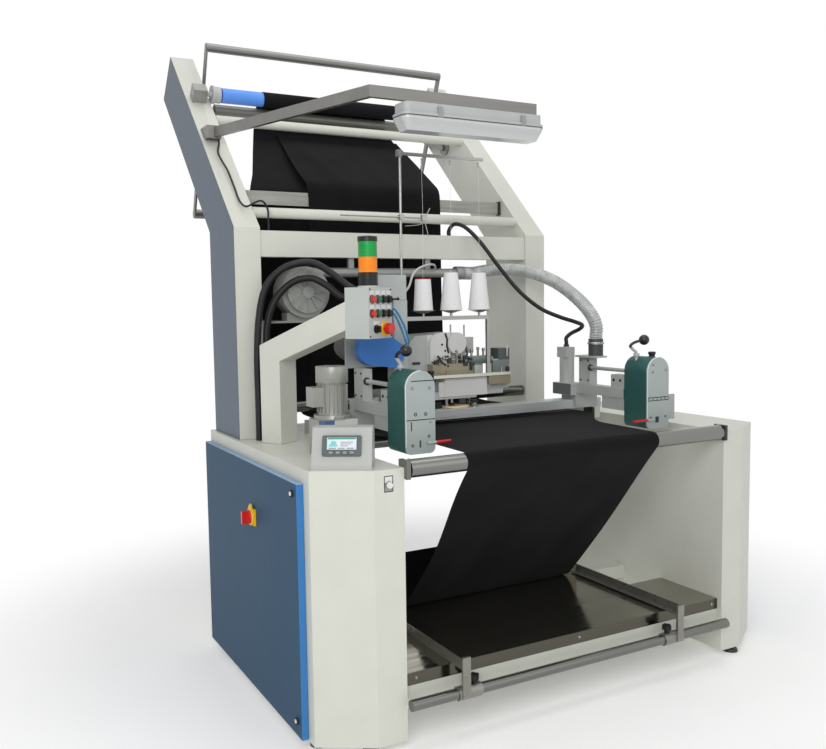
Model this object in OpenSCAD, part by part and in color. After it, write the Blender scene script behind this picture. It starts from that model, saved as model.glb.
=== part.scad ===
// Tubular fabric sewing machine: it sews open-width knitted cloth into a tube.
// X runs along the rollers, Y from the operator's side to the back, Z up from the floor.

/* [Cabinets] */
// Clear width between the two cabinets
clear_w = 1430; // [1400:10:1500]
// Width of one cabinet
cabinet_w = 280; // [270:5:340]
// Depth of a cabinet, front to back
cabinet_d = 1190; // [1180:10:1300]
// Height of the cabinet tops above the floor
table_h = 930; // [880:5:980]
// Width of the slanted outer front corner
chamfer_w = 174; // [150:2:190]
// Depth of the slanted outer front corner
chamfer_d = 108; // [90:2:120]
// Cabinet sheet thickness
sheet_t = 4; // [3:0.5:6]
// Height of the levelling feet
foot_h = 36; // [28:2:50]
// Diameter of a foot pad
foot_d = 64; // [40:2:70]

/* [Door] */
// Thickness of the folded door
door_t = 22; // [16:1:28]
// Gap between the door and the cabinet side
door_gap = 1.5; // [1:0.5:3]
// Distance of the door's front edge from the cabinet front
door_front = 155; // [140:5:200]
// Height of the door's lower edge above the cabinet bottom
door_sill = 7; // [4:1:20]
// Distance of the door's upper edge below the cabinet top
door_head = 46; // [30:2:80]
// Diameter of a hinge pin
pin_d = 8; // [6:1:8]
// Radial running clearance of every shaft and pin
fit_gap = 0.05; // [0.03:0.01:0.1]

/* [Posts] */
// Width of a post along X
post_w = 104; // [90:2:110]
// Depth of a post's upright part
post_d = 322; // [300:2:330]
// Distance of the posts behind the cabinet front
post_y = 841; // [835:1:855]
// Setback of the left post from the outer cabinet face
post_inset = 15; // [5:1:30]
// Clear width between the posts
post_gap = 1248; // [1200:4:1290]
// Height of the front bend above the cabinet top
bend_h = 815; // [790:5:840]
// Backward lean of the upper part, from vertical
lean_angle = 46; // [44:0.5:48]
// Length of the leaning part along its front edge
lean_len = 1205; // [1150:5:1250]
// Thickness of the leaning part
lean_t = 223; // [210:1:226]

/* [Rollers] */
// Diameter of the chromed front roller
front_roller_d = 60; // [50:1:66]
// Diameter of the feed roller under the table bar
feed_roller_d = 48; // [40:1:50]
// Diameter of the take-up roller
take_up_d = 64; // [56:1:70]
// Diameter of the press roller
press_d = 50; // [40:1:56]
// Diameter of the roller journals
journal_d = 20; // [14:1:22]

/* [Tray] */
// Height of the tray floor
tray_h = 248; // [230:2:270]
// Tray sheet thickness
tray_t = 3; // [2:0.5:4]
// Height of the folded front lip
lip_h = 42; // [30:2:60]
// Height of the tray's back wall
tray_back_h = 202; // [100:2:240]
// Diameter of the divider tube below the tray
divider_tube_d = 38; // [30:1:42]

/* [Edge guides] */
// Width of a guide unit
guide_w = 114; // [100:2:124]
// Height of a guide unit
guide_h = 282; // [260:2:300]
// Depth of the green guide body
guide_d = 124; // [100:2:130]
// Thickness of the guide's front plate
guide_plate_t = 6; // [4:1:10]
// Centre of the left guide along X
left_guide_x = -575; // [-580:1:-565]
// Centre of the right guide along X
right_guide_x = 500; // [490:1:505]

/* [Control] */
// Width of the square control arm
arm_w = 95; // [80:1:100]
// Turn of the control arm towards the operator
arm_turn = 29; // [20:1:35]
// Width of the push-button box
box_w = 142; // [140:1:170]
// Depth of the push-button box
box_d = 102; // [90:1:120]
// Height of the push-button box
box_h = 178; // [170:1:200]
// Diameter of a push button
button_d = 22; // [18:1:24]
// Travel of a push button
button_travel = 4; // [3:0.5:5]

/* [Lamp] */
// Length of the lamp fixture
lamp_len = 594; // [500:2:620]
// Width of the lamp fixture
lamp_w = 110; // [90:2:130]
// Height of the lamp housing above its seal
lamp_top_h = 47; // [40:1:60]

/* [Hidden] */
$fn = 64;

cream = [0.80, 0.80, 0.74];
blue = [0.22, 0.36, 0.55];
steel = [0.68, 0.69, 0.70];
chrome = [0.80, 0.81, 0.83];
dark = [0.16, 0.16, 0.17];
pale_grey = [0.72, 0.73, 0.73];
green_body = [0.16, 0.33, 0.30];

eps = 0.01;
seat_gap = 0.02; // gap at slanted faces that rest on each other
run_gap = 0.5; // gap between sliding faces

// Cabinets and door
inner_x = clear_w / 2;
outer_x = inner_x + cabinet_w;
door_y1 = cabinet_d - 2;
door_z0 = foot_h + door_sill;
door_z1 = table_h - door_head;
door_out_x = outer_x + door_gap + door_t;
hinge_out = 8; // distance of the hinge axis from the cabinet's side and back
hinge_od = 16;
knuckle_h = 36;
ear_h = 12;
hinge_z = [door_z0 + 90, door_z1 - 90];
escutcheon = 60;
escutcheon_t = 6;
switch_y = 590;
switch_z = door_z1 - 194;
switch_reach = 38;
side_panel_t = 12;

// Posts
left_post_x = -(outer_x - post_inset);
left_inner = left_post_x + post_w;
right_inner = left_inner + post_gap;
bend_z = table_h + bend_h;
mid_span_x = (left_inner + right_inner) / 2;

function lean_y(s, d) = post_y + s * sin(lean_angle) + d * cos(lean_angle);
function lean_z(s, d) = bend_z + s * cos(lean_angle) - d * sin(lean_angle);

// Cross members
beam_z = bend_z - 111;
beam_h = 100;
beam_t = 60;
beam_y = post_y + 9;
tie_d = 42;
tie_low = [110, 16]; // along the lean, and depth behind its front face
tie_high = [738, 16];
frame_h = 85;
frame_arm_w = 40;
frame_arm_h = 50;
left_arm_x = -inner_x + 25;
right_arm_x = inner_x - 170;

// Table bar and rollers
bar_y = 580;
bar_d = 80;
bar_t = 40;
bar_z = table_h + frame_arm_h;
bar_x1 = right_arm_x + frame_arm_w + 5;
front_roller_y = 10;
front_roller_z = table_h - 7;
feed_roller_y = 600;
feed_roller_z = table_h + 5;
block_t = 15;
bearing_t = 12;
roller_end_gap = 5;
take_up = [862, -31]; // lean coordinates of the roller axes
press = [886, 58];
dancer = [840, 126];
pivot_od = 72;
pivot_d = 24;
dancer_plate_t = 8;
dancer_off = 18; // distance of a dancer side plate from the post
dancer_top = [1560, table_h + 1670]; // Y and Z of the two dancer tubes
dancer_low = [1850, table_h + 960];
dancer_knee = [1703, table_h + 1370];
dancer_tube_d = 38;
dancer_roller_d = 44;

// Tray and dividers
tray_y0 = 20;
tray_y1 = 332;
tray_y2 = 640;
tray_x0 = -560;
tray_x1 = 500;
tube_y = -24;
tube_z = tray_h - 88;
sleeve_od = divider_tube_d + 10;
sleeve_len = 90;
upright_t = 4;
left_divider_x = -520;
right_divider_x = 440;
knob_inset = 45;
knob_d = 36;

// Head, between the posts
cross_tube_y = post_y + 34;
cross_tube_z = table_h + 110;
cross_tube_d = 46;
plate_y0 = 630;
plate_z = cross_tube_z + cross_tube_d / 2 + 2;
plate_t = 20;
head_z = plate_z + plate_t;
column_x = -430;
column_w = 60;
column_y = 600;
column_top = table_h + 530;
stand_x = column_x + column_w / 2 + 22;
stand_y = column_y + column_w / 2;
cone_bar_z = table_h + 455;
cone_x = [-282, -152, -18];
motor_x = -540;
motor_z = table_h + 345;

// Edge guides
guide_y = 140;
guide_z = table_h + 10;
guide_back = guide_y + guide_plate_t + guide_d;
guide_shaft_d = 16;
tower_y = 500;
tower_h = 266;
saddle_t = 8;
lever_d = 12;
ball_d = 42;

// Control arm and box, in the arm's own turned frame
arm_x = -882;
arm_y = 652;
arm_reach = 305;
arm_elbow_z = table_h + 310;
arm_rise = tan(20.7);
box_z = table_h + 396;
box_top = box_z + box_h;
box_face = arm_reach + box_d;
button_pitch = 34;
button_row = [box_z + 136, box_z + 87, box_z + 33];
button_t = 8;
stem_d = 12;
stem_len = 20;
estop_d = 40;

// Screen console on the slanted front corner
console_w = 190;
console_h = 130;
console_foot = 18;
console_set = 6;
console_lean = 46;
console_d = 104;
chamfer_turn = -atan(chamfer_d / chamfer_w);
console_tilt = atan(console_lean / (console_h - console_foot));
console_slope = norm([console_lean, console_h - console_foot]);

// Lamp
lamp_arm_z = table_h + 1211;
lamp_arm_h = 40;
lamp_arm_w = 20;
lamp_x0 = -562;
lamp_y = 300;
stud_h = 9;
lamp_top = lamp_arm_z - stud_h;
seal_z = lamp_top - lamp_top_h;
diffuser_h = 46;

// Cloth
cloth_t = 4;
cloth_gap = 0.5;

// The origin lies below the middle of the machine
front_reach = tube_y - sleeve_od / 2 - upright_t;
back_reach = dancer_low[0] + dancer_roller_d / 2;
left_reach = door_out_x + escutcheon_t + switch_reach;
right_reach = outer_x + side_panel_t;
mid_x = (right_reach - left_reach) / 2;
mid_y = (front_reach + back_reach) / 2;

// Routes of the free cords; heights are above the cabinet tops
function from_table(route) = [for (p = route) p + [0, 0, table_h]];
hose_d = 58;
hose_route = from_table([[60, 880, 645], [115, 880, 645], [185, 864, 656], [262, 818, 660], [335, 745, 643],
    [395, 660, 601], [435, 582, 542], [457, 512, 478], [470, 476, 415], [470, 476, 355]]);
conduit_d = 18;
conduit_route = from_table([[5, 900, 804], [5, 900, 830], [18, 876, 856], [50, 838, 840], [96, 790, 774],
    [152, 736, 670], [220, 684, 564], [300, 640, 488], [380, 604, 448], [448, 586, 426], [498, 598, 410],
    [512, 634, 392], [490, 662, 374], [463, 664, 354], [460, 660, 336], [460, 660, 325]]);
outer_route = from_table([[-915, 800, 0], [-915, 800, 150], [-915, 800, 320], [-905, 798, 470],
    [-880, 790, 580], [-830, 775, 644], [-765, 755, 674], [-700, 735, 674], [-640, 705, 635],
    [-590, 665, 585], [-545, 640, 560], [-500, 640, 560]]);
inner_route = from_table([[-875, 812, 0], [-875, 812, 150], [-875, 810, 320], [-870, 806, 440],
    [-840, 795, 535], [-780, 775, 600], [-715, 745, 618], [-660, 715, 590], [-610, 688, 544],
    [-552, 674, 540], [-500, 674, 540]]);
flex_d = 28;
air_d = 8;
air_routes = [
    from_table([[-585.5, 410.5, 490], [-559.3, 425, 490], [-500, 465, 480], [-440, 520, 420],
        [-395, 565, 360], [-392, 584, 340], [-392, 600, 340]]),
    from_table([[-585.5, 410.5, 506], [-559.3, 425, 506], [-496, 467, 496], [-428, 524, 436],
        [-384, 568, 376], [-378, 584, 356], [-378, 600, 356]])];
lamp_cable_d = 8;
lamp_cable_route = from_table([[-915, 1212, 1205], [-915, 1212, 1184], [-934, 1165, 1142], [-930, 1120, 1098],
    [-923, 1078, 1058], [-922, 1005, 987], [-922, 938, 922], [-908, 900, 898], [-880, 885, 912],
    [-850, 885, 920], [-828, 885, 892], [-826, 885, 850], [-826, 885, 804]]);

// Shared shapes
module placed() {
    translate([-mid_x, -mid_y, 0]) children();
}

module box(low, high) {
    translate(low) cube(high - low);
}

module rod_x(x0, x1, y, z, d) {
    translate([x0, y, z]) rotate([0, 90, 0]) cylinder(d = d, h = x1 - x0);
}

module rod_y(y0, y1, x, z, d) {
    translate([x, y1, z]) rotate([90, 0, 0]) cylinder(d = d, h = y1 - y0);
}

module rod_z(z0, z1, x, y, d) {
    translate([x, y, z0]) cylinder(d = d, h = z1 - z0);
}

// A YZ outline pushed along X, and an XZ outline pushed along Y
module side_slab(x0, x1) {
    translate([x0, 0, 0]) rotate([90, 0, 90]) linear_extrude(x1 - x0) children();
}

module front_slab(y0, y1) {
    translate([0, y1, 0]) rotate([90, 0, 0]) linear_extrude(y1 - y0) children();
}

module rounded_rect(w, h, r) {
    square([w - 2 * r, h], center = true);
    square([w, h - 2 * r], center = true);
    for (i = [-1, 1], j = [-1, 1])
        translate([i * (w / 2 - r), j * (h / 2 - r)]) circle(r);
}

// Children stand in the leaning frame: z along the lean, y into the post
module on_lean(place) {
    translate([0, lean_y(place[0], place[1]), lean_z(place[0], place[1])])
        rotate([-lean_angle, 0, 0]) children();
}

// A strip of even width along an open line of points, mitred at its corners
function unit(v) = v / norm(v);
function left_of(v) = [-v[1], v[0]];
function heading(p, i) = unit(p[min(i + 1, len(p) - 1)] - p[min(i, len(p) - 2)]);
function mitre(p, i) = let (
        a = left_of(heading(p, max(i - 1, 0))), b = left_of(heading(p, i)), m = unit(a + b))
    m / (m * a);
function strip(p, w) = concat(
    [for (i = [0:len(p) - 1]) p[i] + mitre(p, i) * w / 2],
    [for (i = [len(p) - 1:-1:0]) p[i] - mitre(p, i) * w / 2]);
function arc(centre, r, from, to, steps) =
    [for (i = [0:steps]) let (a = from + (to - from) * i / steps) centre + r * [cos(a), sin(a)]];

// A cord: rings of points along a smooth curve through its route
function bend(p, i, t) = let (
        a = p[max(i - 1, 0)], b = p[i], c = p[i + 1], d = p[min(i + 2, len(p) - 1)])
    b + 0.5 * t * ((c - a) + t * (2 * a - 5 * b + 4 * c - d + t * (3 * (b - c) + d - a)));
function smooth_route(p, n) = concat(
    [for (i = [0:len(p) - 2], k = [0:n - 1]) bend(p, i, k / n)], [p[len(p) - 1]]);
function along(p, i) = unit(p[min(i + 1, len(p) - 1)] - p[max(i - 1, 0)]);
function flat_side(t) = abs(t[2]) > 0.95 ? unit(cross(t, [0, 1, 0])) : unit(cross(t, [0, 0, 1]));
function next_side(side, t) = unit(side - t * (side * t));
function sides_along(p, i, side) = i == len(p) ? [] :
    let (s = next_side(side, along(p, i))) concat([s], sides_along(p, i + 1, s));

module cord(route, d, n = 2, faces = 8) {
    p = smooth_route(route, n);
    sides = sides_along(p, 0, flat_side(along(p, 0)));
    points = [for (i = [0:len(p) - 1], k = [0:faces - 1])
        let (t = along(p, i), u = sides[i], v = cross(t, u), a = 360 * k / faces)
        p[i] + d / 2 * (u * cos(a) + v * sin(a))];
    last = (len(p) - 1) * faces;
    walls = [for (i = [0:len(p) - 2], k = [0:faces - 1])
        let (a = i * faces + k, b = i * faces + (k + 1) % faces) [b, a, a + faces, b + faces]];
    polyhedron(points, concat([[for (k = [0:faces - 1]) k]], walls, [[for (k = [faces - 1:-1:0]) last + k]]));
}

// Cabinets
function cabinet_plan(t) = let (slant = norm([chamfer_w, chamfer_d])) [
    [inner_x + t, t],
    [outer_x - chamfer_w + t * (chamfer_w - slant) / chamfer_d, t],
    [outer_x - t, chamfer_d + t * (slant - chamfer_d) / chamfer_w],
    [outer_x - t, cabinet_d - t],
    [inner_x + t, cabinet_d - t]];

module cabinet_block(t) {
    translate([0, 0, foot_h + t]) linear_extrude(table_h - foot_h - 2 * t) polygon(cabinet_plan(t));
}

module at_console() {
    translate([-(outer_x - chamfer_w / 2), chamfer_d / 2, table_h]) rotate([0, 0, chamfer_turn]) children();
}

module console() {
    at_console() translate([-console_w / 2, 0, 0]) rotate([90, 0, 90]) linear_extrude(console_w) polygon([
        [console_set, -eps], [console_set, console_foot], [console_set + console_lean, console_h],
        [console_set + console_d, console_h], [console_set + console_d, -eps]]);
}

module hinge_ears(z) {
    x = -(outer_x + hinge_out);
    y = cabinet_d + hinge_out;
    for (k = [-1, 1]) {
        low = z + (k < 0 ? -knuckle_h / 2 - run_gap - ear_h : knuckle_h / 2 + run_gap);
        rod_z(low, low + ear_h, x, y, hinge_od);
        box([x, cabinet_d - eps, low], [-outer_x + 24, cabinet_d + 2 * hinge_out, low + ear_h]);
    }
    rod_z(z - knuckle_h / 2 - run_gap - eps, z + knuckle_h / 2 + run_gap + eps, x, y, pin_d);
}

module left_cabinet() {
    color(cream) placed() {
        difference() {
            mirror([1, 0, 0]) cabinet_block(0);
            mirror([1, 0, 0]) cabinet_block(sheet_t);
            box([-outer_x - 1, door_front + 20, door_z0 + 20],
                [-outer_x + sheet_t + 1, door_y1 - 35, door_z1 - 20]);
            rod_y(-1, sheet_t + 1, start_x, start_z, stem_d + 2 * fit_gap);
        }
        console();
        for (z = hinge_z) hinge_ears(z);
    }
}

module right_cabinet() {
    color(cream) placed() {
        cabinet_block(0);
        box([outer_x - eps, door_front, door_z0], [outer_x + side_panel_t, door_y1, door_z1]);
    }
}

module levelling_feet() {
    color(dark) placed()
        for (side = [-1, 1], p = [[110, 50], [cabinet_w - 50, 190], [50, cabinet_d - 60],
                [cabinet_w - 50, cabinet_d - 110]])
            translate([side * (inner_x + p[0]), p[1], 0]) {
                cylinder(d1 = foot_d, d2 = foot_d - 10, h = 12);
                cylinder(d = 16, h = foot_h);
            }
}

module electrics_panel() {
    back = -(inner_x + sheet_t);
    board_t = 6;
    low = [door_front + 105, door_z0 + 107];
    pitch = 150;
    rows = [[80, 180, 90, 110], [270, 120, 70, 90], [450, 150, 80, 100]]; // height up, height, depth, width
    color("gainsboro") placed() {
        box([back - board_t, low[0], low[1]], [back, cabinet_d - 110, door_z1 - 64]);
        for (row = rows, k = [0:4])
            box([back - board_t - row[2], low[0] + 40 + k * pitch, low[1] + row[0]],
                [back - board_t + 1, low[0] + 40 + k * pitch + row[3], low[1] + row[0] + row[1]]);
    }
}

// Posts and cross members
module post(x) {
    rear_s = (post_d - lean_t * cos(lean_angle)) / sin(lean_angle);
    side_slab(x, x + post_w) polygon([
        [post_y, table_h], [post_y + post_d, table_h],
        [post_y + post_d, lean_z(rear_s, lean_t)],
        [lean_y(lean_len, lean_t), lean_z(lean_len, lean_t)],
        [lean_y(lean_len, 0), lean_z(lean_len, 0)],
        [post_y, bend_z]]);
}

module left_post() {
    color(cream) placed() post(left_post_x);
}

module right_post() {
    color(cream) placed() post(right_inner);
}

module cross_members() {
    color(cream) placed() {
        box([left_inner, beam_y, beam_z], [right_inner, beam_y + beam_t, beam_z + beam_h]);
        for (tie = [tie_low, tie_high])
            rod_x(left_inner, right_inner, lean_y(tie[0], tie[1]), lean_z(tie[0], tie[1]), tie_d);
    }
}

module frame_beams() {
    color(cream) placed() {
        box([-inner_x, post_y - 1, table_h - frame_h], [inner_x, post_y + post_d - 2, table_h]);
        for (x = [left_arm_x, right_arm_x])
            box([x, bar_y, table_h], [x + frame_arm_w, post_y + 60, table_h + frame_arm_h]);
        difference() {
            union() {
                box([-inner_x, tray_y0 + tray_t, tray_h - 108], [inner_x, tray_y0 + 70, tray_h - tray_t]);
                for (side = [-1, 1])
                    translate([side * (inner_x - 12), 0, 0])
                        box([-12, tube_y, tube_z - 14], [12, tray_y0 + tray_t + 1, tube_z + 14]);
            }
            rod_x(-inner_x - 1, inner_x + 1, tube_y, tube_z, divider_tube_d + 2 * fit_gap);
        }
        box([-inner_x, tray_y2 - 80, tray_h - tray_t - 60], [inner_x, tray_y2 - 20, tray_h - tray_t]);
    }
}

module table_bar() {
    color(steel) placed()
        difference() {
            box([left_arm_x, bar_y, bar_z], [bar_x1, bar_y + bar_d, bar_z + bar_t]);
            box([left_arm_x - 1, bar_y + 22, bar_z + bar_t - 6], [bar_x1 + 1, bar_y + 34, bar_z + bar_t + 1]);
        }
}

module tray() {
    color(steel) placed() {
        box([-inner_x + 2, tray_y0, tray_h - tray_t], [inner_x - 2, tray_y1, tray_h]);
        box([tray_x0, tray_y1 - eps, tray_h - tray_t], [tray_x1, tray_y2, tray_h]);
        box([-inner_x + 2, tray_y0, tray_h - lip_h], [inner_x - 2, tray_y0 + tray_t - 0.1, tray_h]);
        box([tray_x0, tray_y2 - tray_t, tray_h - eps], [tray_x1, tray_y2, tray_h + tray_back_h]);
    }
}

module chrome_tubes() {
    color(chrome) placed() {
        rod_x(-inner_x, inner_x, tube_y, tube_z, divider_tube_d);
        rod_x(left_inner, right_inner, cross_tube_y, cross_tube_z, cross_tube_d);
    }
}

// Roller bearings and dancer pivots
module bearing_blocks() {
    bore = journal_d + 2 * fit_gap;
    color(dark) placed() {
        for (side = [-1, 1]) {
            difference() {
                translate([side * (inner_x - block_t / 2), front_roller_y, front_roller_z])
                    cube([block_t, 56, 60], center = true);
                rod_x(-inner_x - 1, inner_x + 1, front_roller_y, front_roller_z, bore);
            }
            translate([side < 0 ? left_arm_x + frame_arm_w : right_arm_x - bearing_t, 0, 0])
                difference() {
                    box([0, feed_roller_y - 30, feed_roller_z - 32],
                        [bearing_t, feed_roller_y + 30, bar_z - 2]);
                    rod_x(-1, bearing_t + 1, feed_roller_y, feed_roller_z, bore);
                }
            take_x = side < 0 ? left_inner - post_w / 2 : right_inner + post_w / 2;
            on_lean(take_up)
                difference() {
                    translate([take_x - 30, take_up[1], -26]) cube([60, -2 * take_up[1], 52]);
                    rod_x(take_x - 31, take_x + 31, 0, 0, bore);
                }
            face_x = side < 0 ? left_inner : right_inner - bearing_t;
            on_lean(press)
                difference() {
                    rod_x(face_x, face_x + bearing_t, 0, 0, journal_d + 30);
                    rod_x(face_x - 1, face_x + bearing_t + 1, 0, 0, bore);
                }
            on_lean(dancer)
                difference() {
                    rod_x(face_x, face_x + bearing_t, 0, 0, pivot_od);
                    rod_x(face_x - 1, face_x + bearing_t + 1, 0, 0, pivot_d + 2 * fit_gap);
                }
        }
    }
}

spreader_y = post_y + 208;
spreader_z = bend_z + 110;

module spreader_bar() {
    clip_w = 10;
    color(steel) placed() {
        box([left_inner + clip_w, spreader_y - 4, spreader_z],
            [right_inner - clip_w, spreader_y + 4, spreader_z + 55]);
        for (x = [left_inner, right_inner - clip_w - eps])
            box([x, spreader_y - 12, spreader_z - 4], [x + clip_w + eps, spreader_y + 12, spreader_z + 59]);
    }
}

// Work lamp on its tube arm
lamp_foot = [-936, 1230];
lamp_corner = [-663, lamp_y];
lamp_arm_x1 = lamp_x0 + lamp_len - 9;
lamp_clip_x = [for (share = [0.24, 0.83]) lamp_x0 + share * lamp_len];
lamp_stud_x = [for (share = [0.1, 0.5, 0.9]) lamp_x0 + share * lamp_len];

module lamp_arm() {
    low = lamp_arm_z - 6;
    high = lamp_arm_z + lamp_arm_h + 6;
    function face_y(z) = post_y + (z - bend_z) * tan(lean_angle) - seat_gap;
    color(steel) placed() {
        side_slab(lamp_foot[0] - 30, lamp_foot[0] + 30) polygon([
            [lamp_foot[1] - 30, low], [face_y(low), low], [face_y(high), high], [lamp_foot[1] - 30, high]]);
        translate([0, 0, lamp_arm_z]) linear_extrude(lamp_arm_h)
            polygon(strip([lamp_foot, lamp_corner, [lamp_arm_x1, lamp_y]], lamp_arm_w));
        for (x = lamp_stud_x) rod_z(lamp_top, lamp_arm_z + 1, x, lamp_y, 10);
    }
}

module lamp_plan(grow) {
    translate([lamp_x0 + lamp_len / 2, lamp_y])
        rounded_rect(lamp_len + 2 * grow, lamp_w + 2 * grow, 30 + grow);
}

module lamp_housing() {
    color(pale_grey) placed() {
        translate([0, 0, seal_z]) linear_extrude(lamp_top_h) lamp_plan(-8);
        translate([0, 0, seal_z]) linear_extrude(12) lamp_plan(0);
        for (x = lamp_clip_x, side = [-1, 1])
            translate([x - 9, lamp_y + side * (lamp_w / 2 - 3) - 5, seal_z + 2]) cube([18, 10, 34]);
    }
}

module lamp_diffuser() {
    color("white") placed() hull() {
        translate([0, 0, seal_z - 8]) linear_extrude(8) lamp_plan(-2, $fn = 32);
        translate([0, 0, seal_z - diffuser_h]) linear_extrude(1) lamp_plan(-24, $fn = 32);
    }
}

// Control arm, push-button box and stack light
module at_arm() {
    translate([arm_x, arm_y, 0]) rotate([0, 0, arm_turn]) children();
}

module control_arm() {
    end_rise = arm_reach * arm_rise;
    arm_h = 100;
    color(cream) placed() at_arm() side_slab(0, arm_w) polygon([
        [0, table_h], [arm_w, table_h], [arm_w, arm_elbow_z + 58],
        [-arm_reach, arm_elbow_z + end_rise + arm_h], [-arm_reach, arm_elbow_z + end_rise],
        [0, arm_elbow_z]]);
}

function button_x(k) = box_w / 2 + (k - 1.5) * button_pitch;
selector_x = 43;
estop_x = 97;

module stem_bore(x, z, d) {
    rod_y(-box_face - 1, -box_face + stem_len + button_travel + 6, x, z, d + 2 * fit_gap);
}

module control_box() {
    fixed = [[2, 0], [3, 0], [0, 1], [1, 1], [2, 1], [3, 1]];
    color(pale_grey) placed() at_arm() {
        difference() {
            box([0, -box_face, box_z], [box_w, -arm_reach, box_top]);
            stem_bore(button_x(0), button_row[0], stem_d);
            stem_bore(button_x(1), button_row[0], stem_d);
            stem_bore(selector_x, button_row[2], stem_d);
            stem_bore(estop_x, button_row[2], stem_d);
        }
        for (b = fixed) rod_y(-box_face - 11, -box_face + 1, button_x(b[0]), button_row[b[1]], button_d);
        rod_z(box_top - 1, box_top + 6, box_w / 2, -arm_reach - box_d / 2, 74);
    }
}

module stack_light() {
    rings = [[70, 0], [70, 46], [66, 48], [66, 98], [68, 99], [68, 102], [66, 103], [66, 153], [70, 155],
        [70, 171]];
    color(dark) placed() at_arm() translate([box_w / 2, -arm_reach - box_d / 2, box_top + 6])
        rotate_extrude() polygon(concat([[0, 0]], [for (r = rings) [r[0] / 2, r[1]]], [[0, 175]]));
}

module hmi_panel() {
    panel_w = 124;
    panel_h = 66;
    key_w = 14;
    color(dark) placed() at_console()
        translate([0, console_set, console_foot]) rotate([90 - console_tilt, 0, 0])
            translate([0, console_slope / 2, seat_gap]) {
                difference() {
                    linear_extrude(8) rounded_rect(panel_w, panel_h, 5);
                    translate([0, 7, 6]) linear_extrude(4) square([94, 40], center = true);
                }
                for (k = [0:3])
                    translate([(k - 1.5) * 22, -23, 7]) linear_extrude(4) rounded_rect(key_w, 10, 2);
            }
}

// Push buttons: caps on stems that slide into their box
module push_button(x, z, d) {
    rod_y(-box_face - button_travel - run_gap - button_t, -box_face - button_travel - run_gap, x, z, d);
    rod_y(-box_face - button_travel - run_gap - 1, -box_face + stem_len, x, z, stem_d);
}

module red_button() {
    color("red") placed() at_arm() push_button(button_x(0), button_row[0], button_d);
}

module green_button() {
    color("green") placed() at_arm() push_button(button_x(1), button_row[0], button_d);
}

module estop_button() {
    color("red") placed() at_arm() {
        push_button(estop_x, button_row[2], 26);
        rod_y(-box_face - 30, -box_face - 12, estop_x, button_row[2], estop_d);
    }
}

module mode_selector() {
    color(dark) placed() at_arm() {
        rod_y(-box_face - 10, -box_face - run_gap, selector_x, button_row[2], 24);
        rod_y(-box_face - 5, -box_face + stem_len, selector_x, button_row[2], stem_d);
        translate([selector_x, -box_face - 14, button_row[2]]) cube([7, 12, 22], center = true);
    }
}

start_x = -(inner_x + 56);
start_z = table_h - 49;

module start_button() {
    color("white") placed() {
        rod_y(-button_travel - run_gap - 7, -button_travel - run_gap, start_x, start_z, 20);
        rod_y(-button_travel - run_gap - 1, sheet_t + 12, start_x, start_z, stem_d);
    }
}

// Left door and its main switch
module left_door() {
    x = -(outer_x + hinge_out);
    y = cabinet_d + hinge_out;
    pan_t = 3;
    color(blue) placed() {
        difference() {
            box([-door_out_x, door_front, door_z0], [-outer_x - door_gap, door_y1, door_z1]);
            box([-door_out_x + pan_t, door_front + pan_t, door_z0 + pan_t],
                [-outer_x, door_y1 - 24, door_z1 - pan_t]);
            rod_x(-door_out_x - 30, -outer_x, switch_y, switch_z, stem_d + 2 * fit_gap);
        }
        difference() {
            translate([-door_out_x - escutcheon_t, switch_y - escutcheon / 2, switch_z - escutcheon / 2])
                cube([escutcheon_t + 1, escutcheon, escutcheon]);
            rod_x(-door_out_x - 30, -outer_x, switch_y, switch_z, stem_d + 2 * fit_gap);
        }
        for (z = [door_z0 + 51, door_z1 - 37])
            rod_x(-door_out_x - 6, -door_out_x + 1, door_front + 40, z, 24);
        for (z = hinge_z)
            difference() {
                union() {
                    rod_z(z - knuckle_h / 2, z + knuckle_h / 2, x, y, hinge_od);
                    box([x - hinge_od / 2, door_y1 - 8, z - knuckle_h / 2], [x, y, z + knuckle_h / 2]);
                }
                rod_z(z - knuckle_h, z + knuckle_h, x, y, pin_d + 2 * fit_gap);
            }
    }
}

module main_switch() {
    face = -door_out_x - escutcheon_t - run_gap;
    color("red") placed() {
        rod_x(face - 14, face, switch_y, switch_z, 46);
        rod_x(face - 1, face + 30, switch_y, switch_z, stem_d);
        box([face - switch_reach + run_gap, switch_y - 7, switch_z - 23],
            [face - 12, switch_y + 7, switch_z + 23]);
    }
}

// Rollers
module roller(x0, x1, d, end0, end1) {
    rod_x(x0, x1, 0, 0, d);
    rod_x(end0, x0 + 1, 0, 0, journal_d);
    rod_x(x1 - 1, end1, 0, 0, journal_d);
}

module front_roller() {
    reach = inner_x - block_t - roller_end_gap;
    color(chrome) placed() translate([0, front_roller_y, front_roller_z])
        roller(-reach, reach, front_roller_d, -inner_x + 1, inner_x - 1);
}

feed_x0 = left_arm_x + frame_arm_w;
feed_x1 = right_arm_x;

module feed_roller() {
    color(chrome) placed() translate([0, feed_roller_y, feed_roller_z])
        roller(feed_x0 + bearing_t + roller_end_gap, feed_x1 - bearing_t - roller_end_gap, feed_roller_d,
            feed_x0 + 1, feed_x1 - 1);
}

module take_up_roller() {
    hub_gap = 2;
    hub_end = 39;
    hub_rim = 10;
    body_in = 46;
    color("royalblue") placed() on_lean(take_up) {
        roller(left_inner + body_in, right_inner - body_in, take_up_d,
            left_inner - post_w / 2 - 28, right_inner + post_w / 2 + 28);
        for (side = [0, 1]) translate([side * (left_inner + right_inner), 0, 0]) mirror([side, 0, 0]) {
            rod_x(left_inner + hub_gap, left_inner + hub_gap + hub_rim, 0, 0, take_up_d + 14);
            rod_x(left_inner + hub_gap + 1, left_inner + hub_end, 0, 0, take_up_d + 6);
        }
    }
}

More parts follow.
